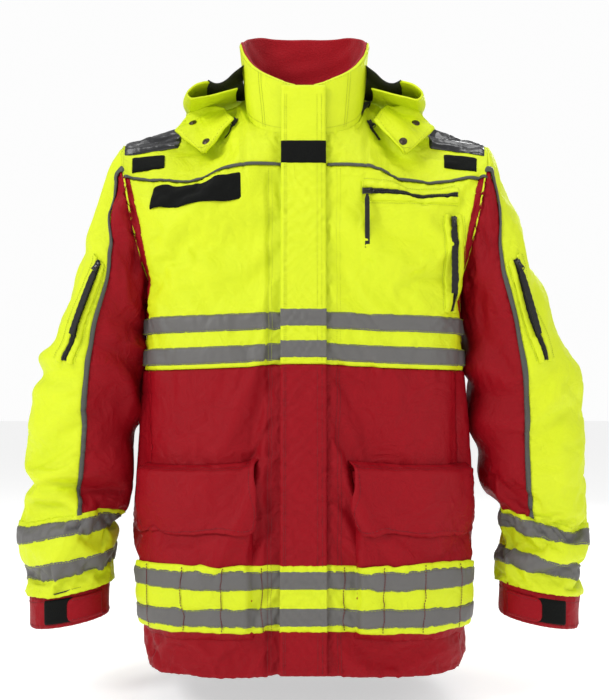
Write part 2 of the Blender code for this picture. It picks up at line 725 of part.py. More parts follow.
def make_sleeves():
    """Yellow outer half, red inner half, reflective band and cuff of each sleeve."""
    pivots = {word: make_pivot(f"sleeve_hinge_{word}", flip(SHOULDER_HINGE, sign)) for word, sign in SIDES}
    last = len(SLEEVE_OUTER) - 1
    seam = 0.6

    def outer(u, v):
        return sleeve_point(between(-SLEEVE_SPLIT + seam, SLEEVE_SPLIT - seam, u), v * last)

    def inner(u, v):
        return sleeve_point(between(SLEEVE_SPLIT + seam, 360 - SLEEVE_SPLIT - seam, u), v * last)
    both("sleeve_outer", "yellow", outer, 12, last, CLOTH, pivots)
    both("sleeve_inner", "red", inner, 12, last, CLOTH, pivots)

    def band(angle, share):
        return sleeve_point(angle, between(6.05, 6.75, share), 0.0036)

    def cuff(angle, share):
        return cuff_point(angle, share, -0.001)
    for name, colour, point, thick in (("sleeve_band", "grey tape", band, TRIM), ("cuff", "red", cuff, CLOTH)):
        tube(f"{name}_left", colour, point, 32, thick, pivots["left"])
        tube(f"{name}_right", colour, other_tube(point), 32, thick, pivots["right"])
    make_sleeve_trim(pivots)


def make_sleeve_trim(sleeves):
    """Cuff tabs, and the sleeve pocket zips with their sliders and pulls."""
    (tab_start, tab_end), (tab_top, tab_bottom) = CUFF_TAB
    hinge = (cuff_tab_hinge()[0] + cuff_tab_hinge()[1]) / 2
    pivots = {word: make_pivot(f"cuff_tab_hinge_{word}", flip(hinge, sign), sleeves[word])
              for word, sign in SIDES}

    def tab(u, v):
        return cuff_point(between(tab_start, tab_end, u), between(tab_top, tab_bottom, v), 0.0026)
    both("cuff_tab", "red", tab, 4, 1, 0.002, pivots)

    def zip_tape(angle, value):
        return sleeve_point(angle, value, 0.0026)
    both("sleeve_zip", "black", *listed(*SLEEVE_ZIP, zip_tape), TRIM, sleeves)

    def zip_surface(u, v):
        return sleeve_point(between(*SLEEVE_ZIP[0], u), between(1.6, 3.5, v))
    top, bottom = sleeve_slide()
    down = (bottom - top).normalized()
    across, _, _ = surface_axes(zip_surface, 0.5, 0.5)
    across = (across - down * across.dot(down)).normalized()
    for word, sign in SIDES:
        axes = [flip(axis, sign) for axis in (across, across.cross(down), down)]
        start = make_pivot(f"sleeve_slider_start_{word}", flip(top, sign), sleeves[word])
        block(f"sleeve_slider_{word}", "snap", flip(top, sign), axes, (0.010, 0.004, 0.014), start)
        hang = make_pivot(f"sleeve_pull_hinge_{word}", flip(sleeve_pull_top(), sign), start)
        pull_strip(f"sleeve_pull_{word}", flip(sleeve_pull_top(), sign), flip(down, sign), 0.100, 0.009,
                   hang, flip(across, sign))


clear_scene()
coat = bpy.data.collections.new("turnout_coat")
bpy.context.scene.collection.children.link(coat)
make_front_panels()
make_back_panels()
make_side_panels()
make_lining()
make_bands()
make_pockets()
make_storm_flap()
make_collar()
make_neck_loop()
make_hood()
make_hood_tabs()
make_patches()
make_zips()
make_sleeves()
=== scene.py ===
"""High-visibility turnout coat in cloth: draped panels, tapes, zips, hood, and its materials."""
import math

import bpy
import numpy as np
from mathutils import Matrix, Vector


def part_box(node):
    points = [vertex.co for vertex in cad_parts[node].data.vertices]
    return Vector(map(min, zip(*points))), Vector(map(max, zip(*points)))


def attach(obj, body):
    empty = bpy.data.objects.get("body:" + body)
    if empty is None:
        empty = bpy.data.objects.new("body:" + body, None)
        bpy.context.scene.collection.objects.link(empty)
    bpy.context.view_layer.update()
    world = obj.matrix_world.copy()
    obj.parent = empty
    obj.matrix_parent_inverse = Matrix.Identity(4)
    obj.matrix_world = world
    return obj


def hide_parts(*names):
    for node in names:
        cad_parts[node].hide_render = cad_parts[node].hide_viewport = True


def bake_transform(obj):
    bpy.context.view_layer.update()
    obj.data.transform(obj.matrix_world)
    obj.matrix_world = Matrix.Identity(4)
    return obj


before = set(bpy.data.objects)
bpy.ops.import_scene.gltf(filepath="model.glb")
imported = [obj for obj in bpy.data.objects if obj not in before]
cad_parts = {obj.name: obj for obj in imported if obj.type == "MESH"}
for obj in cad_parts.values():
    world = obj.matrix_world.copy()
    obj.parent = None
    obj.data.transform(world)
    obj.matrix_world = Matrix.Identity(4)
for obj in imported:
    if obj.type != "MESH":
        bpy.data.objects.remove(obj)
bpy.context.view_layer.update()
SIDES = (("right", -1), ("left", 1))

# ------------------------------------------------------------------ sizes, metres
HEM_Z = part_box("back_skirt")[0][2]
MIDDLE_Y = (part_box("back_skirt")[1][1] - 0.150)
LOOP = np.array((0.0, -MIDDLE_Y, -HEM_Z))           # the frame's origin, from hem and body middle

ARM_H = 0.560
WAIST_H = 0.438
YOKE_H = 0.730
LEAN = 0.0495
FRONT_DEPTH = 0.156
BACK_DEPTH = 0.150
SHOULDER_X, SHOULDER_H = 0.287, 0.791
NECK_X, NECK_H, NECK_Y = 0.093, 0.866, -0.010
SIDE_SHARE = 0.94
FLAP_X = (-0.035, 0.032)
FLAP_OFF = 0.0066
WIDTH_HEIGHTS = (0.0, 0.06, 0.15, 0.24, 0.33, 0.43, 0.50, 0.56)
WIDTHS = (0.238, 0.2405, 0.247, 0.250, 0.2505, 0.246, 0.241, 0.240)

TAPE = 0.025
CHEST_TAPES = (0.4445, 0.4905)                      # lower edges
HEM_TAPES = (0.069, 0.1195)

LOW_ROWS, HIGH_ROWS, COLUMNS = 72, 40, 121


# ------------------------------------------------------------------ the coat's surfaces
def smooth(share):
    share = np.clip(share, 0.0, 1.0)
    return share * share * (3 - 2 * share)


def rounding(share, power):
    return np.maximum(0.0, 1 - np.abs(share) ** power) ** (1 / power)


def section_table(power=3.5, width=0.245, depth=0.150):
    """Shares of the half width at even steps along a quarter of the plan section."""
    turn = np.linspace(0, math.pi / 2, 2000) ** 2 / (math.pi / 2)
    share = np.sin(turn) ** (2 / power)
    left = np.cos(turn) ** (2 / power)
    run = np.hypot(np.diff(share * width), np.diff(left * depth))
    along = np.concatenate(([0], np.cumsum(run)))
    return along / along[-1], share, along[-1]


ALONG, SHARES, QUARTER = section_table()


def share_at(step):
    """Share of the half width at a step from -1 to 1 along the front or the back."""
    return np.sign(step) * np.interp(np.abs(step), ALONG, SHARES)


def step_at(share):
    return np.sign(share) * np.interp(np.abs(share), SHARES, ALONG)


def half_width(height):
    low = np.interp(height, WIDTH_HEIGHTS, WIDTHS)
    rise = np.clip((height - ARM_H) / (SHOULDER_H - ARM_H), 0, 1)
    return np.where(height <= ARM_H, low, WIDTHS[-1] + (SHOULDER_X - WIDTHS[-1]) * rise)


def body_depth(height, side):
    return FRONT_DEPTH - LEAN * height if side < 0 else BACK_DEPTH + 0 * height


def neck_seam(x, side):
    """Depth and height of the collar seam at x, or of the shoulder line beyond it."""
    slope = (NECK_H - SHOULDER_H) / (SHOULDER_X - NECK_X)
    left = rounding(np.clip(np.abs(x) / NECK_X, 0, 1), 2.8)
    reach, height = (0.1072, 0.783) if side < 0 else (0.085, 0.890)
    top = np.where(np.abs(x) < NECK_X, NECK_H + (height - NECK_H) * left,
                   NECK_H - (np.abs(x) - NECK_X) * slope)
    return NECK_Y + side * reach * left, top


def top_power(share, side):
    if side > 0:
        return 2.2 + 0 * share
    return 1 + 1.2 * smooth((np.abs(share) * SHOULDER_X - 0.035) / 0.075)


def body_surface(share, height, side):
    """Smooth body without folds; height is from the hem, side is -1 for the front."""
    left = rounding(share, 3.5)
    middle = NECK_Y * smooth((height - 0.43) / 0.13)
    x = share * half_width(height)
    low_y = middle + side * (body_depth(height, side) + side * -middle) * left
    seam_y, top = neck_seam(share * SHOULDER_X, side)
    rise = np.clip((height - ARM_H) / (top - ARM_H), 0, 1)
    reach = np.maximum(body_depth(ARM_H, side) * left + side * -seam_y, 0)
    chest = reach * rounding(rise, top_power(share, side))
    arm = 0.2 * np.sqrt(rise * (1 - rise)) * np.abs(share) ** 3
    high_y = seam_y + side * (chest ** 4 + arm ** 4) ** 0.25
    return np.stack((x, np.where(height <= ARM_H, low_y, high_y), height), -1)


def row_of(height, share, side):
    """Row of the net at a height on a column."""
    _, top = neck_seam(share * SHOULDER_X, side)
    rise = np.clip((height - ARM_H) / (top - ARM_H), 0, 1)
    turn = np.arcsin(rise ** (top_power(share, side) / 2)) / (math.pi / 2)
    return np.where(height <= ARM_H, height / ARM_H * LOW_ROWS, LOW_ROWS + HIGH_ROWS * turn)


def height_of(row, share, side):
    _, top = neck_seam(share * SHOULDER_X, side)
    turn = np.clip((row - LOW_ROWS) / HIGH_ROWS, 0, 1) * math.pi / 2
    return np.where(row <= LOW_ROWS, row / LOW_ROWS * ARM_H,
                    ARM_H + (top - ARM_H) * np.sin(turn) ** (2 / top_power(share, side)))


def body_net(side):
    rows = np.arange(LOW_ROWS + HIGH_ROWS + 1, dtype=float)
    share = share_at(np.linspace(-1, 1, COLUMNS))
    share, rows = np.meshgrid(share, rows)
    return body_surface(share, height_of(rows, share, side), side)


SLEEVE_OUTER = ((0.287, 0.7905), (0.331, 0.700), (0.366, 0.600), (0.404, 0.514), (0.432, 0.430),
                (0.4335, 0.318), (0.429, 0.206), (0.420, 0.092))
SLEEVE_INNER = ((0.241, 0.561), (0.2455, 0.545), (0.251, 0.520), (0.256, 0.470), (0.264, 0.405),
                (0.278, 0.322), (0.293, 0.230), (0.297, 0.112))
SLEEVE_SHAPE = ((0.098, -0.010), (0.094, -0.012), (0.089, -0.015), (0.084, -0.019), (0.080, -0.024),
                (0.074, -0.031), (0.067, -0.038), (0.062, -0.044))
SLEEVE_ROWS, SLEEVE_COLUMNS = 120, 72


def spread(points, places):
    """Smooth curve through a few guide points, read at places from 0 to len - 1."""
    points = np.array(points, float)
    last = len(points) - 1
    i = np.clip(places.astype(int), 0, last - 1)
    t = (places - i)[..., None]
    before, a, b, after = (points[np.clip(i + k, 0, last)] for k in (-1, 0, 1, 2))
    return 0.5 * (2 * a + (b - before) * t + (2 * before - 5 * a + 4 * b - after) * t ** 2
                  + (3 * a - before - 3 * b + after) * t ** 3)


def sleeve_surface(angle, place):
    """Left sleeve without folds: 0 degrees is outermost and 90 the front; place runs 0 to 7."""
    outer, inner, shape = (spread(p, place) for p in (SLEEVE_OUTER, SLEEVE_INNER, SLEEVE_SHAPE))
    middle, arm = (outer + inner) / 2, (outer - inner) / 2
    turn = np.radians(angle)
    y = shape[..., 1] - shape[..., 0] * np.sin(turn)
    return np.stack((middle[..., 0] + arm[..., 0] * np.cos(turn), y,
                     middle[..., 1] + arm[..., 1] * np.cos(turn)), -1)


def sleeve_net():
    place = np.linspace(0, 7, SLEEVE_ROWS + 1)
    angle = np.linspace(0, 360, SLEEVE_COLUMNS + 1)[:-1]
    angle, place = np.meshgrid(angle, place)
    return sleeve_surface(angle, place)


# ------------------------------------------------------------------ cloth simulation
def simulate(points, faces, pins, growth, frames=18, bending=0.6, gravity=0.6, fall=(0, 0, 0)):
    """Let cloth that is a little too big for its seams buckle, and give back where it comes to rest."""
    mesh = bpy.data.meshes.new("draping")
    mesh.from_pydata([tuple(p) for p in points], [], faces)
    obj = bpy.data.objects.new("draping", mesh)
    bpy.context.scene.collection.objects.link(obj)
    group = obj.vertex_groups.new(name="held")
    for level in np.unique(np.round(pins, 2)):
        group.add([int(i) for i in np.flatnonzero(np.round(pins, 2) == level)], float(level), "REPLACE")
    cloth = obj.modifiers.new("cloth", "CLOTH")
    settings = cloth.settings
    settings.quality = 6
    settings.mass = 0.15
    settings.tension_stiffness = settings.compression_stiffness = 25
    settings.shear_stiffness = 12
    settings.bending_stiffness = bending
    settings.tension_damping = settings.compression_damping = settings.shear_damping = 12
    settings.bending_damping = 2
    settings.air_damping = 3
    settings.vertex_group_mass = "held"
    settings.pin_stiffness = 1.0
    settings.shrink_min = -growth
    settings.effector_weights.gravity = gravity
    cloth.collision_settings.use_collision = False
    cloth.point_cache.frame_start = 1
    cloth.point_cache.frame_end = frames
    for number in range(1, frames + 1):
        bpy.context.scene.frame_set(number)
    shown = obj.evaluated_get(bpy.context.evaluated_depsgraph_get()).to_mesh()
    found = np.empty(len(points) * 3)
    shown.vertices.foreach_get("co", found)
    bpy.context.scene.frame_set(1)
    bpy.data.objects.remove(obj)
    return found.reshape(-1, 3)


def grid_faces(rows, columns, closed=False):
    """Quads of a grid whose points are numbered row by row."""
    faces = []
    for j in range(rows - 1):
        for i in range(columns if closed else columns - 1):
            k = (i + 1) % columns
            faces.append((j * columns + i, j * columns + k, (j + 1) * columns + k, (j + 1) * columns + i))
    return faces


def rough(points, size, seed):
    """Smooth repeatable unevenness, about -1 to 1, that changes over the given size."""
    rng = np.random.default_rng(seed)
    total = np.zeros(points.shape[:-1])
    for _ in range(7):
        way = rng.normal(size=3)
        way *= 2 * math.pi / (size * rng.uniform(0.7, 1.5) * np.linalg.norm(way))
        total += np.sin(points @ way + rng.uniform(0, 2 * math.pi))
    return total / 3.2


# ------------------------------------------------------------------ reading a folded net
def weights(t):
    """Catmull-Rom weights of the four neighbours."""
    return (-0.5 * t + t ** 2 - 0.5 * t ** 3, 1 - 2.5 * t ** 2 + 1.5 * t ** 3,
            0.5 * t + 2 * t ** 2 - 1.5 * t ** 3, -0.5 * t ** 2 + 0.5 * t ** 3)


def unit(vectors):
    return vectors / np.maximum(np.linalg.norm(vectors, axis=-1, keepdims=True), 1e-12)


class Net:
    """A closed ring of columns and a run of rows, read smoothly at any place."""

    def __init__(self, points, sign=1):
        self.points = points
        across = np.roll(points, -1, 1) - np.roll(points, 1, 1)
        self.normals = unit(np.cross(across, np.gradient(points, axis=0))) * sign

    def read(self, values, row, column):
        rows, columns = values.shape[:2]
        row = np.clip(row, 0, rows - 1)
        j, i = np.minimum(np.floor(row), rows - 2).astype(int), np.floor(column).astype(int)
        total = 0
        for a, row_weight in zip((-1, 0, 1, 2), weights(row - j)):
            for b, column_weight in zip((-1, 0, 1, 2), weights(column - i)):
                found = values[np.clip(j + a, 0, rows - 1), (i + b) % columns]
                total = total + found * (row_weight * column_weight)[..., None]
        return total

    def at(self, row, column, off=0.0):
        row, column, off = np.broadcast_arrays(np.asarray(row, float), column, off)
        return self.read(self.points, row, column) + unit(self.read(self.normals, row, column)) * off[..., None]


# ------------------------------------------------------------------ folding the body
RING = 2 * (COLUMNS - 1)
HALF = COLUMNS - 1
LAST_ROW = LOW_ROWS + HIGH_ROWS


def folded_body():
    """Front and back joined at the sides and shoulders, then let buckle."""
    front, back = body_net(-1), body_net(1)
    ring = np.concatenate((front, back[:, -2:0:-1]), 1)
    rest = ring
    rows = np.arange(LAST_ROW + 1)[:, None] + np.zeros(RING)
    share = np.concatenate((share_at(np.linspace(-1, 1, COLUMNS)), share_at(np.linspace(1, -1, COLUMNS))[1:-1]))
    is_front = np.arange(RING) <= HALF
    height = ring[..., 2]
    x = ring[..., 0]
    out = Net(ring).normals
    # broad folds: diagonals on the skirt, drag lines from the armholes, slack over the chest
    lift = 0.0045 * rough(ring * (1.0, 0.6, 0.55), 0.16, 3) + 0.0016 * rough(ring * (1.0, 1.0, 0.8), 0.055, 8)
    for side, strength in ((-1, 1.0), (1, 0.85)):
        slant = (x * side - 0.03) * 0.86 + (height - 0.33) * 0.50
        lift += 0.0050 * strength * np.exp(-(slant / 0.020) ** 2) * smooth((0.42 - height) / 0.10) * is_front
        drag = (x * side - 0.205) * 0.72 + (height - 0.62) * 0.60
        lift += 0.0045 * strength * np.exp(-(drag / 0.016) ** 2) * np.exp(-((x * side - 0.18) / 0.07) ** 2)
        fall = x * side - 0.13 - (height - 0.55) * 0.16
        lift += 0.0040 * np.exp(-(fall / 0.016) ** 2) * np.exp(-((height - 0.60) / 0.10) ** 2) * is_front
    calm = smooth((np.abs(x) - 0.030) / 0.05) * is_front + ~is_front
    edge = np.minimum(smooth(height / 0.05) * 0.6 + 0.4, smooth((LAST_ROW - rows) / 14))
    edge = edge * np.where(rows > LOW_ROWS, smooth((1 - np.abs(share)) / 0.10), 1)
    ring = ring + out * (lift * calm * edge)[..., None]
    pins = np.full(rows.shape, 0.03)
    pins[rows == LAST_ROW] = 1
    pins[(rows > LOW_ROWS) & (np.abs(share) > 0.999)] = 1
    pins = np.where(is_front & (np.abs(x) < 0.036), 0.7, pins)
    for low in (*CHEST_TAPES, *HEM_TAPES):
        pins = np.where(np.abs(height - low - TAPE / 2) < 0.016, np.maximum(pins, 0.22), pins)
    pins = np.where(height < 0.008, np.maximum(pins, 0.25), pins)
    faces = []
    for j in range(LAST_ROW):
        for i in range(RING):
            k = (i + 1) % RING
            faces.append((j * RING + i, j * RING + k, (j + 1) * RING + k, (j + 1) * RING + i))
    flat = ring.reshape(-1, 3)
    keys, first, same = np.unique(np.round(flat * 2e4), axis=0, return_index=True, return_inverse=True)
    same = same.reshape(-1)
    welded = [tuple(int(same[i]) for i in f) for f in faces]
    welded = [f for f in welded if len(set(f)) == 4]
    found = simulate(flat[first], welded, pins.reshape(-1)[first], growth=0.030, gravity=0.5)
    return rest, found[same].reshape(ring.shape)


def folded_sleeve(sign):
    """One sleeve, deeper creased at the elbow and on its inner side."""
    net = sleeve_net() * (sign, 1, 1)
    place = np.linspace(0, 7, SLEEVE_ROWS + 1)[:, None]
    angle = np.linspace(0, 360, SLEEVE_COLUMNS, endpoint=False)[None, :]
    out = Net(net, sign).normals
    seed = 21 if sign < 0 else 34
    inner = 0.5 - 0.5 * np.cos(np.radians(angle))
    elbow = np.exp(-((place - 3.9) / 1.1) ** 2)
    turns = np.radians(angle)
    creases = np.sin(place * 5.2 + 2.4 * np.cos(turns + sign * 0.7) + rough(net, 0.16, seed) * 2.2)
    lift = 0.0058 * creases * (0.35 + 0.5 * elbow + 0.35 * inner)
    lift = lift + 0.0040 * rough(net * (1, 1, 0.7), 0.10, seed + 1)
    lift = lift * smooth(place / 0.5) * smooth((7 - place) / 0.7)
    net = net + out * lift[..., None]
    pins = np.zeros(net.shape[:2]) + 0.05
    pins[0] = pins[-1] = 1
    pins[1] = 0.5
    pins = np.where(place > 6.0, np.maximum(pins, 0.12), pins)
    faces = grid_faces(SLEEVE_ROWS + 1, SLEEVE_COLUMNS, closed=True)
    found = simulate(net.reshape(-1, 3), faces, pins.reshape(-1), growth=0.055, gravity=0.15)
    return Net(found.reshape(net.shape), sign)


REST, BODY = (Net(points) for points in folded_body())
SLEEVES = {word: folded_sleeve(sign) for word, sign in SIDES}


def ring_column(share, side):
    step = step_at(share)
    return np.where(np.asarray(side) < 0, (step + 1) / 2 * HALF, HALF + (1 - step) / 2 * HALF)


def true_row(height, share, side):
    """Row at which the unfolded net, read between its columns too, is at a height."""
    height, share = np.broadcast_arrays(height, share)
    row, column = row_of(height, share, side), ring_column(share, side)
    for _ in range(4):
        here = REST.read(REST.points, row, column)[..., 2]
        ahead = REST.read(REST.points, row + 0.2, column)[..., 2]
        row = row + np.clip((height - here) / np.maximum(ahead - here, 1e-4) * 0.2, -1.5, 1.5)
        row = np.clip(row, 0, LAST_ROW)
    return row


def body(share, height, side, off=0.0, calm=0.0):
    """A point of the folded body; calm is how much of the folds it leaves out."""
    row, column = true_row(height, share, side), ring_column(share, side)
    folded = BODY.at(row, column, off)
    if np.ndim(calm) == 0 and calm == 0:
        return folded
    calm = np.broadcast_to(calm, row.shape)[..., None]
    return folded * (1 - calm) + REST.at(row, column, off) * calm


def body_rows(share, row, side, off=0.0):
    return BODY.at(row, ring_column(share, side), off)


def share_of(x, height):
    return x / half_width(height)


ARMHOLE = np.array((0.27, -0.010, 0.6765))
INTO_BODY = np.array((-0.060, 0.0, 0.012))


def sleeve(word, angle, place, off=0.0):
    """Point of a folded sleeve; below 0 the place runs on inside the armhole."""
    place = np.asarray(place, float)
    point = SLEEVES[word].at(np.maximum(place, 0) / 7 * SLEEVE_ROWS, np.asarray(angle) / 360 * SLEEVE_COLUMNS, off)
    mirror = np.array((dict(SIDES)[word], 1, 1))
    inside = np.maximum(-place, 0)[..., None]
    return point + inside * (INTO_BODY * mirror + (ARMHOLE * mirror - point) * 0.45)


# ------------------------------------------------------------------ materials
def add(tree, kind, inputs=(), **settings):
    """One shader node, with its settings and its inputs linked or filled in."""
    node = tree.nodes.new(kind)
    for name, value in settings.items():
        setattr(node, name, value)
    for name, value in dict(inputs).items():
        if isinstance(value, bpy.types.NodeSocket):
            tree.links.new(value, node.inputs[name])
        else:
            node.inputs[name].default_value = value
    return node


def maths(tree, operation, first, second=0.0):
    node = add(tree, "ShaderNodeMath", operation=operation)
    for socket, value in zip(node.inputs, (first, second)):
        if isinstance(value, bpy.types.NodeSocket):
            tree.links.new(value, socket)
        else:
            socket.default_value = value
    return node.outputs[0]


def new_group(name, outputs, inputs=()):
    group = bpy.data.node_groups.new(name, "ShaderNodeTree")
    for socket, kind, value in inputs:
        made = group.interface.new_socket(socket, in_out="INPUT", socket_type=kind)
        made.default_value = value
    for socket, kind in outputs:
        group.interface.new_socket(socket, in_out="OUTPUT", socket_type=kind)
    return group, group.nodes.new("NodeGroupInput"), group.nodes.new("NodeGroupOutput")


def weave_group():
    """Oxford weave: over and under threads, and a slow unevenness of the yarn."""
    group, given, result = new_group(
        "oxford weave", (("Height", "NodeSocketFloat"), ("Tone", "NodeSocketFloat")),
        (("Thread", "NodeSocketFloat", 0.0006),))
    place = add(group, "ShaderNodeUVMap", uv_map="cloth")
    split = add(group, "ShaderNodeSeparateXYZ", {"Vector": place.outputs["UV"]})
    turns = maths(group, "DIVIDE", math.pi, given.outputs["Thread"])
    across = maths(group, "SINE", maths(group, "MULTIPLY", split.outputs["X"], turns))
    along = maths(group, "SINE", maths(group, "MULTIPLY", split.outputs["Y"], turns))
    over = maths(group, "MULTIPLY", across, along)
    yarn = add(group, "ShaderNodeTexNoise", {"Vector": place.outputs["UV"], "Scale": 260.0, "Detail": 2.0})
    slow = add(group, "ShaderNodeTexNoise", {"Vector": place.outputs["UV"], "Scale": 22.0, "Detail": 3.0})
    height = maths(group, "ADD", over, maths(group, "MULTIPLY", yarn.outputs["Fac"], 1.2))
    group.links.new(height, result.inputs["Height"])
    tone = maths(group, "ADD", maths(group, "MULTIPLY", slow.outputs["Fac"], 0.6),
                 maths(group, "MULTIPLY", yarn.outputs["Fac"], 0.4))
    group.links.new(tone, result.inputs["Tone"])
    return group


def crumple_group():
    """Fine creasing that real cloth keeps between its larger folds."""
    group, given, result = new_group("fine creasing", (("Height", "NodeSocketFloat"),))
    place = add(group, "ShaderNodeTexCoord")
    wide = add(group, "ShaderNodeTexNoise",
               {"Vector": place.outputs["Object"], "Scale": 26.0, "Detail": 4.0, "Roughness": 0.45, "Distortion": 0.9})
    ridge = maths(group, "ABSOLUTE", maths(group, "SUBTRACT", wide.outputs["Fac"], 0.5))
    group.links.new(maths(group, "MULTIPLY", ridge, -2.0), result.inputs["Height"])
    return group


WEAVE = weave_group()
CREASES = crumple_group()


def cloth_material(name, light, dark, rough=0.62, thread=0.0006, relief=0.00010, crease=0.0012, sheen=0.10,
                   sheen_rough=0.4, specular=0.35, glow=0.0):
    material = bpy.data.materials.new(name)
    material.use_nodes = True
    tree = material.node_tree
    shader = tree.nodes["Principled BSDF"]
    weave = add(tree, "ShaderNodeGroup", node_tree=WEAVE)
    weave.inputs["Thread"].default_value = thread
    creases = add(tree, "ShaderNodeGroup", node_tree=CREASES)
    mix = add(tree, "ShaderNodeMix", {"Factor": weave.outputs["Tone"]}, data_type="RGBA")
    mix.inputs[6].default_value = (*dark, 1)
    mix.inputs[7].default_value = (*light, 1)
    tree.links.new(mix.outputs[2], shader.inputs["Base Color"])
    soft = add(tree, "ShaderNodeBump", {"Height": creases.outputs["Height"], "Distance": crease, "Strength": 1.0})
    fine = add(tree, "ShaderNodeBump", {"Height": weave.outputs["Height"], "Distance": relief, "Strength": 0.8,
                                       "Normal": soft.outputs["Normal"]})
    tree.links.new(fine.outputs["Normal"], shader.inputs["Normal"])
    shader.inputs["Roughness"].default_value = rough
    shader.inputs["Specular IOR Level"].default_value = specular
    shader.inputs["Sheen Weight"].default_value = sheen
    shader.inputs["Sheen Roughness"].default_value = sheen_rough
    if glow:
        tree.links.new(mix.outputs[2], shader.inputs["Emission Color"])
        shader.inputs["Emission Strength"].default_value = glow
    return material


def grain_material(name, light, dark, rough, scale, relief, metallic=0.0, sheen=0.0, specular=0.5, coat=0.0):
    """Pile, moulded and plated surfaces: a noise grain in colour and height."""
    material = bpy.data.materials.new(name)
    material.use_nodes = True
    tree = material.node_tree
    shader = tree.nodes["Principled BSDF"]
    place = add(tree, "ShaderNodeTexCoord")
    grain = add(tree, "ShaderNodeTexNoise", {"Vector": place.outputs["Object"], "Scale": scale, "Detail": 3.0})
    mix = add(tree, "ShaderNodeMix", {"Factor": grain.outputs["Fac"]}, data_type="RGBA")
    mix.inputs[6].default_value = (*dark, 1)
    mix.inputs[7].default_value = (*light, 1)
    tree.links.new(mix.outputs[2], shader.inputs["Base Color"])
    bump = add(tree, "ShaderNodeBump", {"Height": grain.outputs["Fac"], "Distance": relief, "Strength": 1.0})
    tree.links.new(bump.outputs["Normal"], shader.inputs["Normal"])
    shader.inputs["Roughness"].default_value = rough
    shader.inputs["Metallic"].default_value = metallic
    shader.inputs["Sheen Weight"].default_value = sheen
    shader.inputs["Specular IOR Level"].default_value = specular
    shader.inputs["Coat Weight"].default_value = coat
    shader.inputs["Coat Roughness"].default_value = 0.15
    return material


LOOKS = {
    "yellow_shell": cloth_material("yellow shell", (0.76, 0.86, 0.010), (0.62, 0.75, 0.006), 0.55, crease=0.0022,
                                   sheen=0.0),
    "red_shell": cloth_material("red shell", (0.34, 0.003, 0.010), (0.25, 0.002, 0.007), 0.50, crease=0.0030,
                                sheen=0.0, specular=0.14),
    "reflective_tape": cloth_material("reflective tape", (0.145, 0.140, 0.135), (0.115, 0.112, 0.108), 0.50,
                                      thread=0.0009, relief=0.00005, crease=0.0006, sheen=0.0, specular=0.35),
    "piping": cloth_material("reflective piping", (0.085, 0.09, 0.08), (0.06, 0.065, 0.055), 0.45,
                             thread=0.0008, crease=0.0004, sheen=0.0),
    "black_webbing": cloth_material("black webbing", (0.010, 0.010, 0.010), (0.005, 0.005, 0.005), 0.6,
                                    thread=0.0012, relief=0.0002, crease=0.0005, sheen=0.05),
    "hook_and_loop": grain_material("loop pile", (0.010, 0.011, 0.010), (0.002, 0.002, 0.002), 0.95, 900.0,
                                    0.0009, sheen=0.02, specular=0.12),
    "zip_tape": cloth_material("zip tape", (0.010, 0.010, 0.010), (0.006, 0.006, 0.006), 0.55, thread=0.0008,
                               crease=0.0003, sheen=0.03),
    "red_fleece": grain_material("red fleece", (0.42, 0.006, 0.014), (0.26, 0.003, 0.008), 0.95, 420.0, 0.0016,
                                 sheen=0.12, specular=0.15),
    "black_lining": cloth_material("black lining", (0.016, 0.016, 0.018), (0.009, 0.009, 0.010), 0.5,
                                   thread=0.0005, sheen=0.05),
    "shoulder_coating": grain_material("glossy shoulder coating", (0.020, 0.020, 0.023), (0.010, 0.010, 0.012),
                                       0.30, 60.0, 0.0010, specular=0.5, coat=0.25),
    "dark_metal": grain_material("dark bronze", (0.10, 0.075, 0.055), (0.06, 0.045, 0.035), 0.32, 300.0,
                                 0.0001, metallic=0.9),
    "coil": grain_material("black zip coil", (0.012, 0.012, 0.012), (0.006, 0.006, 0.006), 0.35, 400.0, 0.0001),
    "red_seam": cloth_material("red seam thread", (0.16, 0.004, 0.010), (0.11, 0.003, 0.006), 0.6, crease=0.0),
    "yellow_seam": cloth_material("yellow seam thread", (0.46, 0.54, 0.006), (0.36, 0.43, 0.004), 0.6, crease=0.0),
}


# ------------------------------------------------------------------ builders
def tag(name):
    return name.replace(" ", "_")


def new_piece(name, vertices, faces, look, uv=None, flat_shaded=False):
    mesh = bpy.data.meshes.new(tag(name))
    mesh.vertices.add(len(vertices))
    mesh.vertices.foreach_set("co", np.asarray(vertices - LOOP, np.float32).reshape(-1))
    sizes = np.array([len(f) for f in faces]) if not isinstance(faces, np.ndarray) else np.full(len(faces), faces.shape[1])
    loops = np.concatenate([np.ravel(f) for f in faces]) if not isinstance(faces, np.ndarray) else faces.reshape(-1)
    mesh.loops.add(len(loops))
    mesh.loops.foreach_set("vertex_index", loops.astype(np.int32))
    mesh.polygons.add(len(sizes))
    mesh.polygons.foreach_set("loop_start", (np.cumsum(sizes) - sizes).astype(np.int32))
    mesh.update(calc_edges=True)
    layer = mesh.uv_layers.new(name="cloth")
    if uv is not None:
        layer.data.foreach_set("uv", np.asarray(uv, np.float32)[loops].reshape(-1))
    mesh.polygons.foreach_set("use_smooth", np.full(len(sizes), not flat_shaded))
    mesh.validate()
    obj = bpy.data.objects.new(tag(name), mesh)
    bpy.context.scene.collection.objects.link(obj)
    mesh.materials.append(LOOKS[look])
    return obj


def ribbing(along, seed, wave=0.010):
    """Uneven gathers along a seam, about -1 to 1."""
    rng = np.random.default_rng(seed)
    total = 0
    for size in (1.0, 0.71, 1.45, 2.3):
        total = total + np.sin(along * 2 * math.pi / (wave * size) + rng.uniform(0, 6.28) + 1.3 * np.sin(along * 31 * size))
    return total / 2.6


def grid_of(place, width, length, cell):
    columns = max(2, int(round(width / cell)) + 1)
    rows = max(2, int(round(length / cell)) + 1)
    return np.meshgrid(np.linspace(0, 1, columns), np.linspace(0, 1, rows))


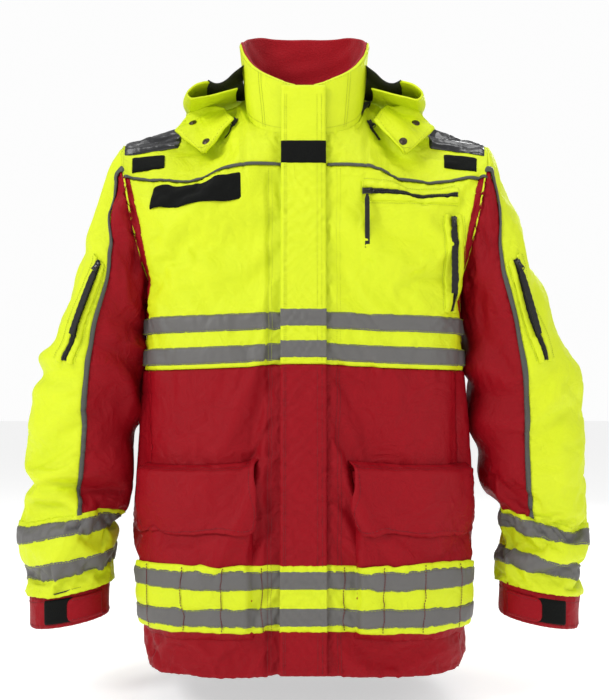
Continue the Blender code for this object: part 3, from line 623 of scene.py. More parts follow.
def cloth(name, look, place, width, length, off=0.0, thick=0.0022, cell=0.0035, tuck="", pucker="", seed=1,
          relief=None, closed=False, gather=0.0008, fade=0.014):
    """A closed thin solid laid on place(u, v, off); u runs along the width and v along the length.

    tuck names the edges that roll under, and pucker the edges whose stitching gathers the cloth,
    from l, r, b and t for the ends of u and v."""
    u, v = grid_of(place, width, length, cell)
    if closed:
        u = u[:, :-1]
        v = v[:, :-1]
    near = {"l": u * width, "r": (1 - u) * width, "b": v * length, "t": (1 - v) * length}
    lift = np.zeros_like(u)
    for number, edge in enumerate("lrbt"):
        if edge in pucker:
            along = v * length if edge in "lr" else u * width
            lift = lift + gather * ribbing(along, seed * 7 + number) * np.exp(-(near[edge] / fade) ** 2)
        if edge in tuck:
            lift = lift - 0.0016 * np.maximum(0, 1 - near[edge] / 0.0045) ** 2
    if relief is not None:
        lift = lift + relief(u, v)
    outer = place(u, v, off + lift)
    inner = place(u, v, off + lift - thick)
    rows, columns = u.shape
    count = rows * columns
    index = np.arange(count).reshape(rows, columns)
    right = np.roll(index, -1, 1) if closed else index[:, 1:]
    left = index if closed else index[:, :-1]
    quads = np.stack((left[:-1], right[:-1], right[1:], left[1:]), -1).reshape(-1, 4)
    middle = rows // 2, columns // 3
    step = np.cross(outer[middle[0], middle[1] + 1] - outer[middle], outer[middle[0] + 1, middle[1]] - outer[middle])
    turned = np.dot(step, outer[middle] - inner[middle]) < 0
    rims = [(left[0], right[0], 1), (left[-1], right[-1], -1)]
    if not closed:
        rims += [(index[:-1, 0], index[1:, 0], -1), (index[:-1, -1], index[1:, -1], 1)]
    walls = []
    for first, second, way in rims:
        wall = np.stack((first, first + count, second + count, second), -1)
        walls.append(wall if way > 0 else wall[:, ::-1])
    faces = np.concatenate((quads, (quads + count)[:, ::-1], *walls))
    if turned:
        faces = faces[:, ::-1]
    run = np.linalg.norm(np.diff(outer, axis=1), axis=-1).mean(0)
    rise = np.linalg.norm(np.diff(outer, axis=0), axis=-1).mean(1)
    flat_u = np.concatenate(([0], np.cumsum(run)))[None, :] + np.zeros_like(u)
    flat_v = np.concatenate(([0], np.cumsum(rise)))[:, None] + np.zeros_like(u)
    uv = np.stack((flat_u, flat_v), -1).reshape(-1, 2)
    obj = new_piece(name, np.concatenate((outer.reshape(-1, 3), inner.reshape(-1, 3))), faces, look,
                    np.concatenate((uv, uv)))
    obj["flat"] = [float(flat_u.max()), float(flat_v.max())]
    if closed:
        obj["flat"] = [float(np.linalg.norm(np.roll(outer, -1, 1) - outer, axis=-1).sum(1).mean()), float(flat_v.max())]
    corner = outer.reshape(-1, 3)[quads]
    area = np.linalg.norm(np.cross(corner[:, 2] - corner[:, 0], corner[:, 3] - corner[:, 1]), axis=-1).sum() / 2
    obj["cut"] = float(area)
    return obj


def stitches(name, look, place, start, end, length, off=0.0, pitch=0.0034, size=(0.0023, 0.00055, 0.0004)):
    """A row of stitches along a line of a surface, each a small raised thread."""
    count = max(2, int(length / pitch))
    t = (np.arange(count) + 0.5) / count
    u = start[0] + (end[0] - start[0]) * t
    v = start[1] + (end[1] - start[1]) * t
    step = 0.3 / count
    middle = place(u, v, off + 0 * t)
    ahead = place(u + (end[0] - start[0]) * step, v + (end[1] - start[1]) * step, off + 0 * t)
    out = unit(place(u, v, off + 0.002 + 0 * t) - middle)
    along = unit(ahead - middle)
    side = np.cross(out, along)
    corners = []
    for a in (-0.5, 0.5):
        for b in (-0.5, 0.5):
            for c in (-0.3, 1.0):
                shrink = 1.0 if c < 0 else 0.7
                corners.append(middle + along * a * size[0] * shrink + side * b * size[1] * shrink + out * c * size[2])
    vertices = np.stack(corners, 1).reshape(-1, 3)
    box = np.array(((0, 1, 3, 2), (4, 6, 7, 5), (0, 4, 5, 1), (2, 3, 7, 6), (0, 2, 6, 4), (1, 5, 7, 3)))
    faces = (box[None] + 8 * np.arange(count)[:, None, None]).reshape(-1, 4)
    return new_piece(name, vertices, faces, look, np.zeros((len(vertices), 2)))


def join(name, *pieces):
    """Several meshes made one piece."""
    bpy.ops.object.select_all(action="DESELECT")
    for piece in pieces:
        piece.select_set(True)
    bpy.context.view_layer.objects.active = pieces[0]
    bpy.ops.object.join()
    pieces[0].name = tag(name)
    return pieces[0]


def settle(obj, mover, nodes=(), across=None):
    """Parent a finished piece to its body's empty, or bake its transform in place when across is given, and hide the
    model parts it stands in for.
    """
    if across:
        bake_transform(obj)
    else:
        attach(obj, mover)
    if nodes:
        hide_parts(*nodes)
    return obj


def mix(a, b, t):
    return a + (b - a) * t


def front(x, height, off=0.0):
    return body(share_of(x, height), height, -1, off)


def low_ring(column, height, off=0.0):
    """The body below the armholes, by ring column."""
    return BODY.at(height / ARM_H * LOW_ROWS, column, off)


def groove(x, height):
    """The pleat in the right front that the storm flap's free edge lies over."""
    across = smooth((x + 0.0575) / 0.0025) * smooth((-0.030 - x) / 0.004)
    return -0.0045 * across * smooth((YOKE_H - height) / 0.02)


# ------------------------------------------------------------------ body panels
GAP = 0.007
TOP_OF_RED = WAIST_H
CHEST_EDGE = ((0.438, 0.515, 0.59, 0.66, 0.745), (1.0, 0.985, 0.930, 0.942, 0.968))


def chest_edge(height):
    return np.interp(height, *CHEST_EDGE)


def yoke_line(share):
    """Height of the piped seam, which dips towards the armholes."""
    return 0.7385 - 0.016 * np.abs(share)


POCKET_X, POCKET_END = 0.074, 0.962
POCKET_H = (0.052, 0.288)
POCKET_FLAP_H = (0.196, 0.303)


def pocket_rise(share, height):
    """How far the bellows pocket stands off the skirt."""
    x = np.abs(share) * half_width(height)
    inner = smooth((x - POCKET_X) / 0.007)
    outer = smooth((POCKET_END + 0.012 - np.abs(share)) / 0.012)
    rise = smooth((height - POCKET_H[0]) / 0.012) * smooth((0.312 - height) / 0.03)
    return 0.0085 * inner * outer * rise


def column_share(column):
    """Share and side of a ring column."""
    column = np.mod(column, RING)
    ahead = column <= HALF
    share = np.where(ahead, share_at(column / HALF * 2 - 1), share_at(1 - (column - HALF) / HALF * 2))
    return share, ahead


def build_body():
    for number, (word, sign) in enumerate(SIDES):
        def skirt(u, v, off, sign=sign):
            height = mix(0.0, TOP_OF_RED - 0.0004, v)
            share = mix(share_of(GAP, height), SIDE_SHARE, u) * sign
            return body(share, height, -1, off + groove(share * half_width(height), height))
        obj = cloth(f"skirt front {word}", "red_shell", skirt, 0.24, 0.438, tuck="bt", pucker="trb", seed=3 + number,
                    gather=0.0009)
        settle(obj, "torso", [f"skirt_{word}"])

        def chest(u, v, off, sign=sign):
            share = mix(share_of(GAP, 0.6), 1.0, u)
            for _ in range(3):
                height = mix(TOP_OF_RED + 0.0004, yoke_line(share) - 0.0008, v)
                share = mix(share_of(GAP, height), chest_edge(height), u)
            dip = groove(share * sign * half_width(height), height)
            return body(share * sign, height, -1, off + dip)
        obj = cloth(f"chest front {word}", "yellow_shell", chest, 0.25, 0.292, tuck="tbr", pucker="rt", seed=9 + number,
                    off=0.0004)
        settle(obj, "torso", [f"chest_{word}"])

        def wedge(u, v, off, sign=sign):
            height = mix(0.514, yoke_line(0.99) - 0.0008, v)
            share = mix(chest_edge(height) - 0.004, 1.025, u)
            ahead = body(np.minimum(share, 1.0) * sign, height, -1, off)
            behind = body((2.0 - np.maximum(share, 1.0)) * sign, height, 1, off + 0.0030)
            return np.where((share > 1.0)[..., None], behind, ahead)
        obj = cloth(f"armhole panel {word}", "red_shell", wedge, 0.036, 0.208, off=-0.0004, pucker="", seed=15 + number,
                    cell=0.003)
        settle(obj, "torso", [])

        def yoke(u, v, off, sign=sign):
            share = mix(share_of(GAP, 0.74), 1.0, u)
            row = mix(true_row(yoke_line(share) + 0.0008, share, -1), LAST_ROW, v)
            return body_rows(share * sign, row, -1, off)
        obj = cloth(f"shoulder yoke {word}", "yellow_shell", yoke, 0.29, 0.125, off=0.0004, tuck="b", pucker="b",
                    seed=19 + number)
        settle(obj, "torso", [f"yoke_{word}"])

        start = ring_column(SIDE_SHARE * sign, -sign)
        end = ring_column(SIDE_SHARE * sign, sign)
        end = end if sign > 0 else end + RING

        def side(u, v, off, start=start, end=end):
            return low_ring(mix(start, end, u), mix(0.0, TOP_OF_RED - 0.0004, v), off)
        obj = cloth(f"skirt side {word}", "red_shell", side, 0.17, 0.438, tuck="blrt", pucker="lrt", seed=25 + number)
        settle(obj, "torso", [f"side_panel_{word}"])
    def back_skirt(u, v, off):
        return body(mix(SIDE_SHARE, -SIDE_SHARE, u), mix(0.0, TOP_OF_RED - 0.0004, v), 1, off)
    obj = cloth("skirt back", "red_shell", back_skirt, 0.46, 0.438, tuck="bt", pucker="tb", seed=31)
    settle(obj, "torso", ["back_skirt"])

    def back(u, v, off):
        share = mix(1.0, -1.0, u)
        row = mix(row_of(TOP_OF_RED + 0.0004, share, 1), LAST_ROW, v)
        return body_rows(share, row, 1, off)
    obj = cloth("back", "yellow_shell", back, 0.56, 0.45, off=0.0004, tuck="b", pucker="b", seed=37)
    settle(obj, "torso", ["back_panel"])

    def lining(u, v, off):
        return BODY.at(mix(2.0, LOW_ROWS + 1.0, v), ring_column(share_of(0.012, 0.3), -1) + u * (RING - 7.0), off)
    obj = cloth("body lining", "black_lining", lining, 1.15, 0.54, off=-0.0086, thick=0.0012, cell=0.008)
    settle(obj, "torso", ["body_lining"])
    for side_word, side, first in (("front right", -1, -1), ("front left", -1, 1), ("back", 1, 0)):
        def upper(u, v, off, side=side, first=first):
            share = mix(-0.97, 0.97, u) if first == 0 else first * mix(0.03, 0.97, u)
            return body_rows(share, mix(LOW_ROWS - 1.0, LAST_ROW - 0.3, v), side, off)
        obj = cloth(f"upper lining {side_word}", "black_lining", upper, 0.54 if first == 0 else 0.27, 0.33,
                    off=-0.0046 if side > 0 else -0.0086, thick=0.0012, cell=0.008)
        settle(obj, "torso", [])


def build_bands():
    """Piped yoke seam, the chest and hem tapes, and the stitching that crosses the hem's."""
    for number, (word, sign) in enumerate(SIDES):
        def piping(u, v, off, sign=sign):
            share = mix(share_of(0.034, 0.74), 0.998, u)
            return body(share * sign, yoke_line(share) + mix(-0.0021, 0.0021, v), -1, off)
        obj = cloth(f"yoke piping {word}", "piping", piping, 0.25, 0.0042, off=0.0022, thick=0.0018, cell=0.0014,
                    relief=lambda u, v: 0.0009 * (1 - (2 * v - 1) ** 2))
        settle(obj, "torso", [])
    start = float(ring_column(share_of(0.029, 0.48), -1))
    end = float(RING + ring_column(share_of(-0.033, 0.48), -1))
    length = 1.20

    over = 0.0135

    def around(low, high):
        def found(u, v, off):
            column = mix(start, end, u)
            height = mix(low, high, v)
            share, ahead = column_share(column)
            rise = np.where(ahead, pocket_rise(share, height), 0.0) * (over / 0.0085)
            rise = rise + np.where(ahead, groove(share * half_width(height), height), 0.0)
            calm = 0.6 * np.maximum(rise, 0) / over
            found = low_ring(column, height, off + rise)
            return found * (1 - calm[..., None]) + REST.at(height / ARM_H * LOW_ROWS, column, off + rise) * calm[..., None]
        return found
    for number, low in enumerate(CHEST_TAPES):
        obj = cloth(f"chest tape {number + 1}", "reflective_tape", around(low, low + TAPE), length, TAPE, off=0.0022,
                    thick=0.0012, cell=0.003, tuck="bt", pucker="bt", seed=41 + number, gather=0.0005)
        settle(obj, "torso", ["chest_band"])
    ground = (HEM_TAPES[0] - 0.008, HEM_TAPES[1] + TAPE + 0.008)
    obj = cloth("hem band", "yellow_shell", around(*ground), length, ground[1] - ground[0], off=0.0024, thick=0.0014,
                tuck="bt", pucker="bt", seed=47, cell=0.003)
    settle(obj, "torso", ["hem_band"])
    rows = []
    for number, low in enumerate(HEM_TAPES):
        obj = cloth(f"hem tape {number + 1}", "reflective_tape", around(low, low + TAPE), length, TAPE, off=0.0040,
                    thick=0.0012, cell=0.003, tuck="bt", pucker="bt", seed=51 + number, gather=0.0005)
        settle(obj, "torso", [])
    place = around(*ground)
    for number in range(24):
        u = (number + 0.5) / 24
        rows.append(stitches(f"hem cross stitch {number}", "red_seam", place, (u, 0.02), (u, 0.98), 0.09, off=0.0042,
                             size=(0.0026, 0.0013, 0.0006)))
    settle(join("hem cross stitching", *rows), "torso")
    rows = []
    for low in CHEST_TAPES:
        for edge in (low + 0.0015, low + TAPE - 0.0015):
            rows.append(stitches(f"tape edge {edge:.4f}", "yellow_seam", around(edge, edge + 0.0001), (0, 0), (1, 0),
                                 length, off=0.0024))
    settle(join("chest tape stitching", *rows), "torso")
    rows = []
    for low in HEM_TAPES:
        for edge in (low + 0.0015, low + TAPE - 0.0015):
            rows.append(stitches(f"hem edge {edge:.4f}", "yellow_seam", around(edge, edge + 0.0001), (0, 0), (1, 0),
                                 length, off=0.0042))
    settle(join("hem tape stitching", *rows), "torso")


# ------------------------------------------------------------------ storm flap
FLAP_TOP = 0.857


def flap(x, height, off=0.0):
    """The flap over the zip: it follows the fronts and runs on straight up before the collar."""
    base_h = np.minimum(height, 0.745)
    base = front(x, base_h, 0.0)
    drift = base[..., 1] + (FRONT_DEPTH - LEAN * base_h)
    drift = np.clip(drift, -0.004, 0.003) * smooth((0.80 - height) / 0.10)
    wave = 0.0006 * np.sin(height * 61) * smooth((x + 0.02) / -0.012)
    y = -(FRONT_DEPTH - LEAN * height) + drift - 0.0074 - wave - off
    return np.stack((base[..., 0] * 0 + x, y, height + 0 * x), -1)


def build_flap():
    def part(low, high):
        def found(u, v, off):
            x = mix(FLAP_X[0], FLAP_X[1], u)
            return flap(x, mix(low, high, v), off)
        return found
    obj = cloth("storm flap yellow", "yellow_shell", part(TOP_OF_RED + 0.0004, FLAP_TOP), 0.067, 0.43, thick=0.0024,
                cell=0.003, tuck="lrtb", pucker="lr", seed=61, gather=0.0007, fade=0.010)
    settle(obj, "storm_flap", ["storm_flap"])
    obj = cloth("storm flap red", "red_shell", part(0.001, TOP_OF_RED - 0.0004), 0.067, 0.437, thick=0.0024,
                cell=0.003, tuck="lrtb", pucker="lr", seed=63, gather=0.0007, fade=0.010)
    settle(obj, "storm_flap", ["storm_flap"])
    for number, low in enumerate(CHEST_TAPES):
        obj = cloth(f"flap chest tape {number + 1}", "reflective_tape", part(low + 0.0035, low + TAPE + 0.0035), 0.066,
                    TAPE, off=0.0016, thick=0.0012, cell=0.002, tuck="bt", pucker="bt", seed=65 + number, gather=0.0003)
        settle(obj, "storm_flap", ["flap_chest_band"])
    ground = (HEM_TAPES[0] - 0.008, HEM_TAPES[1] + TAPE + 0.008)
    obj = cloth("flap hem band", "yellow_shell", part(*ground), 0.066, 0.092, off=0.0014, thick=0.0012, cell=0.002,
                tuck="bt", pucker="bt", seed=69, gather=0.0003)
    settle(obj, "storm_flap", ["flap_hem_band"])
    for number, low in enumerate(HEM_TAPES):
        obj = cloth(f"flap hem tape {number + 1}", "reflective_tape", part(low, low + TAPE), 0.066, TAPE, off=0.0028,
                    thick=0.0012, cell=0.002, tuck="bt", seed=71 + number)
        settle(obj, "storm_flap", [])
    obj = cloth("flap loop patch", "hook_and_loop", part(0.737, 0.771), 0.066, 0.034, off=0.0020, thick=0.0018,
                cell=0.0015, tuck="lrbt")
    settle(obj, "storm_flap", ["flap_patch"])
    for look, low, high in (("yellow_seam", TOP_OF_RED + 0.004, FLAP_TOP - 0.014), ("red_seam", 0.004, TOP_OF_RED - 0.004)):
        rows = []
        for number, u in enumerate((0.08, 0.12, 0.80, 0.90)):
            rows.append(stitches(f"flap line {look} {number}", look, part(low, high), (u, 0.0), (u, 1.0), high - low,
                                 off=0.0001))
        settle(join(f"flap stitching {look[:-5]}", *rows), "storm_flap")
    for look, low, high in (("yellow_seam", TOP_OF_RED + 0.003, 0.73), ("red_seam", 0.004, TOP_OF_RED - 0.004)):
        rows = []
        for sign in (-1, 1):
            for x in (0.0475, 0.0525):
                def line(u, v, off, x=x, sign=sign):
                    return front(x * sign + 0 * u, mix(low, high, v), off)
                rows.append(stitches(f"placket line {look} {sign} {x}", look, line, (0, 0.0), (0, 1.0), high - low,
                                     off=0.0003))
        settle(join(f"placket stitching {look[:-5]}", *rows), "torso")


# ------------------------------------------------------------------ collar and hood
COLLAR_TOP = (0.104, 0.113, 0.088)
COLLAR_RIM = ((0, 45, 75, 95, 112, 128, 144, 158, 170, 180),
              (1.006, 1.003, 0.985, 0.958, 0.932, 0.908, 0.888, 0.876, 0.866, 0.856))
HOOD_BACK = ((0.0, 0.902), (0.034, 0.892), (0.062, 0.866), (0.086, 0.800), (0.112, 0.772),
             (0.126, 0.808), (0.118, 0.862), (0.092, 0.912))
HOOD_SIDE = ((0.0, 0.868), (0.018, 0.861), (0.038, 0.853), (0.058, 0.846), (0.074, 0.842),
             (0.082, 0.852), (0.068, 0.868), (0.047, 0.876))
MOUTH_BACK = ((0.094, 0.9115), (0.090, 0.888), (0.076, 0.878), (0.052, 0.890), (0.026, 0.903), (0.0035, 0.915))
MOUTH_SIDE = ((0.048, 0.8755), (0.038, 0.872), (0.028, 0.874), (0.018, 0.881), (0.007, 0.893), (-0.010, 0.908))


def collar(angle, share, off=0.0):
    """0 degrees is the centre back; the share runs up from the seam to the rim."""
    turn = np.radians(angle)
    across = np.sign(np.sin(turn)) * np.abs(np.sin(turn)) ** (2 / 2.8)
    along = np.sign(np.cos(turn)) * np.abs(np.cos(turn)) ** (2 / 2.8)
    behind = along > 0
    reach = np.where(behind, 0.085, 0.1072)
    height = np.where(behind, 0.890, 0.783)
    low = np.stack(((NECK_X - 0.0010) * across, NECK_Y + reach * along, NECK_H + (height - NECK_H) * np.abs(along)), -1)
    half, forward, back = COLLAR_TOP
    y = np.where(behind, back - NECK_Y, forward + NECK_Y) * along
    away = np.abs((np.asarray(angle) + 180) % 360 - 180)
    rim = sum(np.interp(away + step, *COLLAR_RIM) for step in (-9, -3, 3, 9)) / 4
    high = np.stack((half * across, NECK_Y + y, rim), -1)
    out = np.stack((np.sin(turn), np.cos(turn), 0 * turn), -1)
    return low + (high - low) * np.asarray(share)[..., None] + out * np.asarray(off)[..., None]


def collar_folds(angle, share):
    """Soft upright dents in the padded collar, calm at the seam, the rim and the front."""
    place = np.stack((np.sin(np.radians(angle)), np.cos(np.radians(angle)), share * 0.35), -1)
    swell = 0.0022 * np.sin(np.pi * np.clip(share, 0, 1)) ** 0.7
    return swell + 0.0026 * rough(place, 0.62, 5) * smooth((179 - np.abs(angle)) / 25) * np.sin(np.pi * np.clip(share, 0.02, 1))


def build_collar():
    def shell(u, v, off):
        angle = mix(176.5, -176.5, u)
        share = mix(-0.03, 1.0, v)
        return collar(angle, share, off + collar_folds(angle, share))
    obj = cloth("collar shell", "yellow_shell", shell, 0.62, 0.11, thick=0.0028, cell=0.003, tuck="t", pucker="bt",
                seed=81, gather=0.0007)
    settle(obj, "torso", ["collar_shell"])

    def fleece(u, v, off):
        angle = mix(176.0, -176.0, u)
        share = mix(0.03, 1.012, v)
        puff = 0.0010 * rough(collar(angle, share), 0.03, 6)
        return collar(angle, share, off + collar_folds(angle, share) + puff)
    obj = cloth("collar fleece", "red_fleece", fleece, 0.60, 0.11, off=-0.0034, thick=0.0045, cell=0.0035)
    settle(obj, "torso", ["collar_fleece"])
    rows = []
    for number, angle in enumerate((145.0, -145.0, 148.0, -148.0)):
        def seam(u, v, off, angle=angle):
            share = mix(0.05, 0.97, v)
            return collar(angle + 0 * u, share, off + collar_folds(angle + 0 * u, share))
        rows.append(stitches(f"collar seam {number}", "yellow_seam", seam, (0, 0), (0, 1), 0.10, off=0.0003))
    for number, share in enumerate((0.955, 0.10)):
        def rim(u, v, off, share=share):
            angle = mix(174.0, -174.0, u)
            return collar(angle, share + 0 * u, off + collar_folds(angle, share + 0 * u))
        rows.append(stitches(f"collar rim {number}", "yellow_seam", rim, (0, 0), (1, 0), 0.60, off=0.0003))
    settle(join("collar stitching", *rows), "torso")

    def hood_surface(side_line, back_line, reach, seed, size):
        def found(u, v, off):
            angle = mix(-reach, reach, 1 - u)
            turn = np.radians(angle)
            weight = np.maximum(0.0, np.cos(turn))[..., None] ** 0.8
            last = len(side_line) - 1
            line = spread(side_line, v * last) * (1 - weight) + spread(back_line, v * last) * weight
            around = np.stack((np.sin(turn), np.cos(turn), 0 * turn), -1)
            base = collar(angle, 0 * u, 0 * u + 0.0175)
            middle = base * (1, 1, 0) + around * line[..., :1] + np.stack((0 * u, 0 * u, line[..., 1]), -1)
            ahead = spread(side_line, np.minimum(v * last + 0.05, last)) * (1 - weight)
            ahead = ahead + spread(back_line, np.minimum(v * last + 0.05, last)) * weight
            behind = spread(side_line, np.maximum(v * last - 0.05, 0)) * (1 - weight)
            behind = behind + spread(back_line, np.maximum(v * last - 0.05, 0)) * weight
            run = unit(ahead - behind)
            normal = around * run[..., 1:] - np.stack((0 * u, 0 * u, run[..., 0]), -1)
            fold = size * rough(middle * (1, 1, 0.6), 0.08, seed) * np.sin(np.pi * np.clip(v, 0.03, 0.97))
            fold = fold * smooth((v - 0.30) / 0.25) * (0.35 + 0.65 * weight[..., 0])
            return middle + normal * (off + fold)[..., None]
        return found
    obj = cloth("hood", "yellow_shell", hood_surface(HOOD_SIDE, HOOD_BACK, 112, 12, 0.0065), 0.60, 0.36, thick=0.0024,
                tuck="t", pucker="t", seed=85)
    settle(obj, "torso", ["hood_bag"])
    obj = cloth("hood lining", "black_lining", hood_surface(MOUTH_SIDE, MOUTH_BACK, 113, 14, 0.0012), 0.55, 0.12,
                thick=0.0012)
    settle(obj, "torso", [])


TAB_LEFT = ((0.0, 0.55, 1.0), (0.150, 0.106, 0.126), (0.7640, 0.8200, 0.8480))
TAB_RIGHT = ((0.0, 0.62, 1.0), (0.156, 0.205, 0.173), (0.7640, 0.8110, 0.8520))


def tab_place(sign):
    def found(u, v, off):
        left, right = (np.stack((np.interp(v, t, x), np.interp(v, t, h)), -1) for t, x, h in (TAB_LEFT, TAB_RIGHT))
        point = left + (right - left) * u[..., None]
        x = point[..., 0]
        top = neck_seam(x, -1)[1] - 0.008
        height = np.minimum(point[..., 1], top)
        above = np.maximum(point[..., 1] - height, 0)[..., None] * np.array((0.0, 0.15, 1.0))
        puff = 0.0022 * (np.sin(np.pi * np.clip(u, 0, 1)) * np.sin(np.pi * np.clip(v, 0, 1))) ** 0.5
        puff = puff + 0.0012 * np.sin(u * 9 + v * 7 + sign)
        return body(share_of(x * sign, height), height, -1, off + 0.0078 + puff, 0.7) + above
    return found


def build_tabs():
    for number, (word, sign) in enumerate(SIDES):
        place = tab_place(sign)
        obj = cloth(f"hood tab {word}", "yellow_shell", place, 0.075, 0.075, thick=0.0026, cell=0.002, tuck="lrb",
                    pucker="lrb", seed=91 + number, gather=0.0004, fade=0.008)
        settle(obj, f"hood_tab_{word}", [f"hood_tab_{word}"])
        rows = [stitches(f"tab line {a}{b}", "yellow_seam", place, a, b, 0.06, off=0.0002)
                for a, b in (((0.08, 0.08), (0.08, 0.92)), ((0.92, 0.08), (0.92, 0.92)), ((0.1, 0.08), (0.9, 0.08)))]
        settle(join(f"tab stitching {word}", *rows), f"hood_tab_{word}")
        for index, (u, v) in enumerate(((0.70, 0.66), (0.42, 0.20)), 1):
            spot = [place(np.array([a]), np.array([b]), np.array([0.0]))[0] for a, b in
                    ((u, v), (u + 0.02, v), (u, v + 0.02))]
            snap(f"snap {index} {word}", spot, f"hood_tab_{word}", f"snap_{index}_{word}", sign)


# ------------------------------------------------------------------ hard pieces
def finish_hard(obj, name, look, turn, spot, mover, nodes=()):
    """Lay a piece that was modelled round its own origin in place, and leave it unrotated and at the origin."""
    obj.name = tag(name)
    obj.data.materials.clear()
    obj.data.materials.append(LOOKS[look])
    place = Matrix.Translation(Vector(spot - LOOP)) @ turn.to_4x4()
    obj.data.transform(place)
    if place.determinant() < 0:
        obj.data.flip_normals()
    return settle(obj, mover, nodes)


def lay_axes(across, along):
    """Rotation with X across, Y along and Z outwards."""
    across = Vector(across).normalized()
    out = across.cross(Vector(along)).normalized()
    if out.y > 0:
        out = -out
    along = out.cross(across).normalized()
    return Matrix((across, along, out)).transposed()


def turned(profile, segments=32):
    """A turned piece round Z, from radius and height pairs, closed at both ends."""
    bpy.ops.object.select_all(action="DESELECT")
    bpy.ops.mesh.primitive_circle_add(vertices=segments, radius=profile[0][0], fill_type="NGON",
                                      location=(0, 0, profile[0][1]))
    obj = bpy.context.object
    bpy.ops.object.transform_apply(location=True)
    bpy.ops.object.mode_set(mode="EDIT")
    bpy.ops.mesh.select_all(action="SELECT")
    for (radius, height), (wider, higher) in zip(profile, profile[1:]):
        bpy.ops.mesh.extrude_region_move(TRANSFORM_OT_translate={"value": (0, 0, higher - height)})
        size = wider / radius
        bpy.ops.transform.resize(value=(size, size, 1), center_override=(0, 0, higher))
    bpy.ops.mesh.select_all(action="SELECT")
    bpy.ops.mesh.normals_make_consistent(inside=False)
    bpy.ops.object.mode_set(mode="OBJECT")
    bpy.ops.object.shade_smooth_by_angle(angle=math.radians(35))
    return obj


SNAP = ((0.0060, -0.0006), (0.0063, 0.0), (0.0063, 0.0007), (0.0058, 0.0011), (0.0048, 0.0012), (0.0043, 0.0009),
        (0.0040, 0.0013), (0.0030, 0.0018), (0.0016, 0.0021), (0.0004, 0.0022))


def snap(name, spot, mover, node, sign):
    obj = turned(SNAP)
    middle, right, up = spot
    finish_hard(obj, name, "dark_metal", lay_axes(right - middle, up - middle), middle, mover, [node])


def slider(name, spot, across, along, mover, node, size=(0.010, 0.014, 0.004)):
    """A zip slider: a waisted body, a bridge over it, and the ring that carries the pull."""
    bpy.ops.object.select_all(action="DESELECT")
    bpy.ops.mesh.primitive_cube_add(size=1)
    plate = bpy.context.object
    plate.scale = (size[0], size[1], size[2] * 0.5)
    bpy.ops.object.transform_apply(scale=True)
    bpy.ops.object.mode_set(mode="EDIT")
    bpy.ops.mesh.select_all(action="SELECT")
    bpy.ops.mesh.subdivide(number_cuts=1)
    bpy.ops.mesh.bevel(offset=0.0005, segments=2, affect="EDGES")
    bpy.ops.object.mode_set(mode="OBJECT")
    for vertex in plate.data.vertices:
        vertex.co.x *= 0.72 + 0.28 * abs(vertex.co.y) / (size[1] / 2)
    bpy.ops.mesh.primitive_torus_add(major_segments=20, minor_segments=8, major_radius=size[1] * 0.24,
                                     minor_radius=0.0007, rotation=(0, math.pi / 2, 0), location=(0, 0, size[2] * 0.30))
    bridge = bpy.context.object
    bpy.ops.mesh.primitive_torus_add(major_segments=24, minor_segments=8, major_radius=0.0034, minor_radius=0.0007,
                                     location=(0, -size[1] * 0.46, size[2] * 0.42))
    ring = bpy.context.object
    bpy.ops.object.select_all(action="DESELECT")
    for part in (plate, bridge, ring):
        part.select_set(True)
    bpy.context.view_layer.objects.active = plate
    bpy.ops.object.transform_apply(location=True, rotation=True, scale=True)
    bpy.ops.object.join()
    bpy.ops.object.shade_smooth_by_angle(angle=math.radians(35))
    return finish_hard(plate, name, "coil", lay_axes(across, along), spot, mover, [node] if node else ())


def pull(name, top, down, across, length, width, mover, node, bow=0.0015):
    """A webbing pull hung from its ring, narrowed at the top and gently bowed."""
    down, across = unit(np.asarray(down, float)), unit(np.asarray(across, float))
    out = np.cross(across, -down)
    out = out if out[1] < 0 else -out

    def place(u, v, off):
        narrow = 0.55 + 0.45 * smooth(v / 0.10)
        side = across * ((u - 0.5) * width * narrow)[..., None]
        lift = bow * np.sin(np.pi * v) + off + 0.0004 * np.sin(v * length / 0.0016 * 1.0)
        return top + down * (v * length)[..., None] + side + out * lift[..., None]
    obj = cloth(name, "black_webbing", place, width, length, thick=0.0020, cell=0.0012)
    return settle(obj, mover, [node] if node else ())


def zip_coil(name, place, length, mover, width=0.0052, pitch=0.0021, off=0.0006):
    """Two rows of moulded teeth along a surface line, u across and v along."""
    count = int(length / pitch)
    v = (np.arange(count) + 0.5) / count
    parts = []
    for side in (-1, 1):
        shift = v + side * 0.25 / count
        u = 0.5 + side * 0.14 + 0 * v
        middle = place(u, shift, off + 0 * v)
        out = unit(place(u, shift, off + 0.002 + 0 * v) - middle)
        along = unit(place(u, shift + 0.2 / count, off + 0 * v) - middle)
        across = np.cross(out, along)
        for a in (-0.5, 0.5):
            for b in (-0.5, 0.5):
                for c in (-0.3, 1.0):
                    parts.append(middle + along * a * pitch * 0.62 + across * b * width * 0.52 * (1 if c < 0 else 0.8)
                                 + out * c * 0.0014)
    corners = np.concatenate([np.stack(parts[i:i + 8], 1).reshape(-1, 3) for i in (0, 8)])
    box = np.array(((0, 1, 3, 2), (4, 6, 7, 5), (0, 4, 5, 1), (2, 3, 7, 6), (0, 2, 6, 4), (1, 5, 7, 3)))
    faces = (box[None] + 8 * np.arange(2 * count)[:, None, None]).reshape(-1, 4)
    obj = new_piece(name, corners, faces, "coil", np.zeros((len(corners), 2)))
    return settle(obj, mover)


